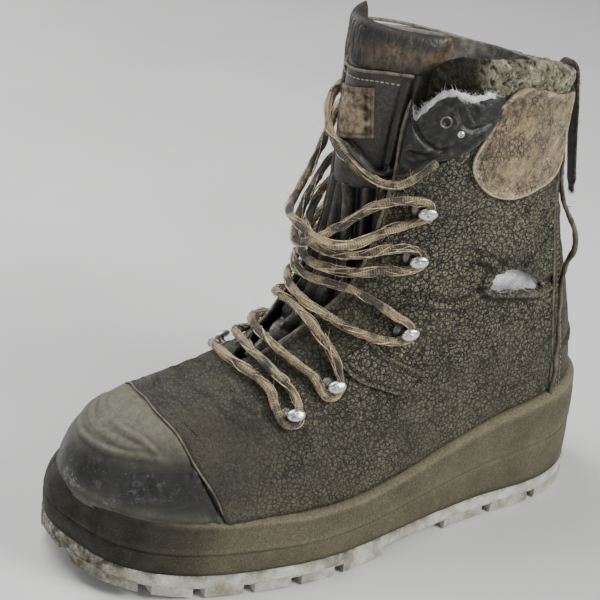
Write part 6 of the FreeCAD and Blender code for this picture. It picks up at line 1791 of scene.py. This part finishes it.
def make_strap():
    pts = np.array([(118.5, 240.6), (121.5, 243.4), (125.5, 241.0), (128.3, 232.0), (130.5, 220.0), (132.8, 207.0), (135.6, 192.0), (138.0, 180.0), (139.8, 169.0)])
    L = np.r_[0, np.cumsum(np.linalg.norm(np.diff(pts, axis=0), axis=1))]
    m = spline_m(L, pts)
    n = 220
    q = np.linspace(0, L[-1], n)
    c = spline_v(L, pts, m, q)
    t = np.gradient(c, axis=0)
    t /= np.linalg.norm(t, axis=1, keepdims=True)
    nrm = np.stack([-t[:, 1], t[:, 0]], 1)
    k = 30
    u = np.linspace(-1, 1, k)
    w = 3.25 * np.clip(1 - 0.12 * waves(np.stack([q * 0, q, q * 0], 1), 30, 161, 2), 0.7, 1.1)
    w *= np.clip((L[-1] - q) / 5.0, 0.35, 1) ** 0.5
    twist = 0.5 * np.sin(q / 24.0)
    rib = 0.14 * np.cos(u * 14)[None, :] * np.cos(q * 3.6)[:, None]
    x = w[:, None] * u[None, :] + (0.5 * np.sin(q / 15))[:, None]
    th = 0.95 * np.sqrt(np.clip(1 - u ** 6, 0.05, 1))[None, :] * (1 + 0.12 * np.sin(q / 9.0))[:, None]
    lean = twist[:, None] * u[None, :]
    O = np.stack([x, c[:, 0, None] + nrm[:, 0, None] * (th + rib + lean), c[:, 1, None] + nrm[:, 1, None] * (th + rib + lean)], -1)
    I = np.stack([x, c[:, 0, None] - nrm[:, 0, None] * (th + rib - lean), c[:, 1, None] - nrm[:, 1, None] * (th + rib - lean)], -1)
    wear = np.clip(0.8 * (np.abs(u)[None, :] > 0.8) * np.ones((n, k)) + 0.4 * waves(O, 12, 162, 2), 0, 1)
    o = shell("pull_strap_webbing", O, I, {"wear": wear})
    put(o, M_WEB, "strap", ["pull_strap"])
    r6 = np.random.default_rng(66)
    parts = []
    end = (O[-1] + I[-1]) / 2
    for i in range(110):
        p = end[int(r6.integers(0, k))]
        dirn = np.array([r6.normal() * 0.4, t[-1, 0] + r6.normal() * 0.35, t[-1, 1] + r6.normal() * 0.25])
        dirn /= np.linalg.norm(dirn)
        s_ = np.linspace(0, 1, 5)
        parts.append(tube("f", p + dirn * (r6.uniform(1.5, 5.5) * s_ - 0.4)[:, None], 0.16 * (1.15 - s_), sides=3))
    for i in range(240):
        a, b = int(r6.integers(4, n)), int(r6.choice([0, k - 1]))
        p = O[a, b]
        dirn = r6.normal(size=3)
        dirn /= np.linalg.norm(dirn)
        s_ = np.linspace(0, 1, 4)
        parts.append(tube("f", p + dirn * (r6.uniform(0.6, 2.2) * s_)[:, None], 0.1 * (1.15 - s_), sides=3))
    put(merge("pull_strap_fray", parts), M_THREAD_D, "strap")
    # stitched anchor of the strap on the backstay
    ps, s = region_grid([(171.0, 10.85), (189.0, 10.85)], [(171.0, 11.95), (189.0, 11.95)], 40, 30)
    P, N = surf(ps, s), normal(ps, s)
    e1 = np.linspace(0, 1, 40)[:, None] * np.ones(30)
    e2 = np.linspace(0, 1, 30)[None, :] * np.ones((40, 1))
    e = np.minimum(np.minimum(e1, 1 - e1) * 21, np.minimum(e2, 1 - e2) * 14)
    d = 1.5 + 0.1 * np.cos(e2 * 60) + 0.3 * bump(e - 0.9, 0.8) + 0.1 * waves(P, 8, 163)
    o = shell("pull_tab_webbing", P + N * d[..., None], P + N * (0.2 + 0 * d)[..., None], {"wear": np.clip(0.8 * bump(e, 1.0), 0, 1)})
    put(o, M_WEB, "boot", ["pull_tab"])
    box = [(173.0, 11.05), (187.0, 11.05), (187.0, 11.75), (173.0, 11.75), (173.0, 11.05)]
    st = []
    for i in range(4):
        p, q2 = np.array(box[i]), np.array(box[i + 1])
        st += stitches([tuple(p), tuple((p + q2) / 2), tuple(q2)], d=1.6, pitch=2.6, r=0.32)
    put(merge("pull_tab_stitching", st), M_THREAD)


make_strap()


# ------------------------------------------------------------------ lace hooks
HOOKS = {
    "hooks_lateral": [(60.0, 3.25), (62.5, 4.42), (69.0, 6.30), (59.5, 8.62), (58.0, 9.90)],
    "hooks_medial": [(-60.0, 3.45), (-60.2, 4.66), (-66.0, 6.35), (-58.0, 8.60), (-56.0, 9.85), (-50.0, 11.55)],
}


def revolve(c, u, v, n, prof, sides=40, slide=0.0, stretch=1.0):
    """Rings (radius, height) round an axis n at c, each ring slid along u and stretched along it."""
    ang = np.linspace(0, 2 * math.pi, sides, endpoint=False)
    V = []
    for item in prof:
        r, h = item[0], item[1]
        sl = item[2] if len(item) > 2 else slide
        stch = item[3] if len(item) > 3 else stretch
        V.append(c + n * h + u * (sl + stch * r * np.cos(ang))[:, None] + v * (r * np.sin(ang))[:, None])
    V = np.array(V)
    q = quads_of(len(prof), sides, wrap_m=True)
    F = V.reshape(-1, 3)
    k = len(F)
    F = np.concatenate([F, V[0].mean(0)[None], V[-1].mean(0)[None]])
    t = [(k, (j + 1) % sides, j) for j in range(sides)] + [(k + 1, (len(prof) - 1) * sides + j, (len(prof) - 1) * sides + (j + 1) % sides) for j in range(sides)]
    a = F[q[0, 1]] - F[q[0, 0]]
    return F, q, np.array(t), {}


def make_hooks():
    for group, spots in HOOKS.items():
        caps, posts = [], []
        for ps, s in spots:
            ps_, s_ = np.array(ps), np.array(s)
            n = normal(ps_, s_)
            u = surf(ps_ + 0.1, s_) - surf(ps_ - 0.1, s_)
            u /= np.linalg.norm(u)
            u = u * (1 if ps > 0 else -1)
            v = np.cross(n, u)
            c = surf(ps_, s_)
            posts.append(revolve(c, u, v, n, [(4.4, 0.1), (5.0, 0.35), (5.15, 0.8), (4.9, 1.2), (4.2, 1.4), (3.0, 1.5), (2.3, 1.75), (1.95, 2.3), (1.75, 3.4), (1.75, 4.6), (1.9, 5.5, 0.3), (2.4, 6.2, 0.6), (2.6, 6.6, 0.8)]))
            caps.append(revolve(c, u, v, n, [(1.3, 5.7, 0.6), (2.3, 5.85, 1.1, 1.3), (2.9, 6.15, 1.6, 1.42), (3.2, 6.6, 1.9, 1.48), (3.25, 7.1, 2.0, 1.5), (3.1, 7.7, 2.0, 1.48), (2.7, 8.2, 1.9, 1.45), (2.1, 8.55, 1.8, 1.4), (1.2, 8.78, 1.7, 1.4), (0.4, 8.85, 1.7, 1.4)]))
        o = merge(group + "_caps", caps)
        put(o, M_HOOK, "boot", [group])
        put(merge(group + "_posts", posts), M_HOOK_D)


make_hooks()

# ------------------------------------------------------------------ light and floor
def make_stage():
    me = bpy.data.meshes.new("floor")
    bm = bmesh.new()
    n = 24
    rows = []
    for i in range(n + 1):
        t = i / n
        # flat floor, then a wide sweep up behind the object
        d = -2.0 + 5.2 * t
        y = d
        z = 0.0 if d < 1.4 else 0.9 * (1 - math.cos(min((d - 1.4) / 1.8, 1) * math.pi / 2)) * 2
        rows.append([bm.verts.new((x, y, z)) for x in np.linspace(-3.2, 3.2, 9)])
    for i in range(n):
        for j in range(8):
            bm.faces.new((rows[i][j], rows[i][j + 1], rows[i + 1][j + 1], rows[i + 1][j]))
    bm.to_mesh(me)
    bm.free()
    me.polygons.foreach_set("use_smooth", np.ones(len(me.polygons), bool))
    o = bpy.data.objects.new("floor", me)
    bpy.context.scene.collection.objects.link(o)
    a = math.radians(56.71)
    o.rotation_euler = (0, 0, a)
    m = Mat("floor", rough=0.75, spec=0.3)
    col = m.mix(m.span(m.noise(3, 3), 0.3, 0.7), rgb(206, 206, 204), rgb(216, 216, 214))
    paint(o, m.out(col, None, m.bump(m.noise(300, 3), 0.0003, 0.2)))


make_stage()


def area(name, pos, target, size, power, colour=(1, 1, 1)):
    d = bpy.data.lights.new(name, "AREA")
    d.shape = "RECTANGLE"
    d.size, d.size_y = size
    d.energy = power
    d.color = colour
    o = bpy.data.objects.new(name, d)
    o.location = pos
    o.rotation_euler = (Vector(target) - Vector(pos)).to_track_quat("-Z", "Y").to_euler()
    bpy.context.scene.collection.objects.link(o)
    return o


area("key", (1.15, 0.75, 1.05), (0, 0, 0.12), (0.7, 0.7), 30)
area("top", (-0.35, -0.25, 1.35), (0, -0.05, 0.08), (0.8, 0.5), 14)
area("fill", (0.75, -1.15, 0.55), (0, 0, 0.1), (0.9, 0.7), 4.5)
area("rim", (-1.0, -0.45, 0.6), (0, 0, 0.1), (0.5, 0.8), 8)
world = bpy.data.worlds.new("world")
world.use_nodes = True
world.node_tree.nodes["Background"].inputs["Color"].default_value = (0.92, 0.94, 1.0, 1)
world.node_tree.nodes["Background"].inputs["Strength"].default_value = 0.2
bpy.context.scene.world = world

bpy.context.view_layer.update()
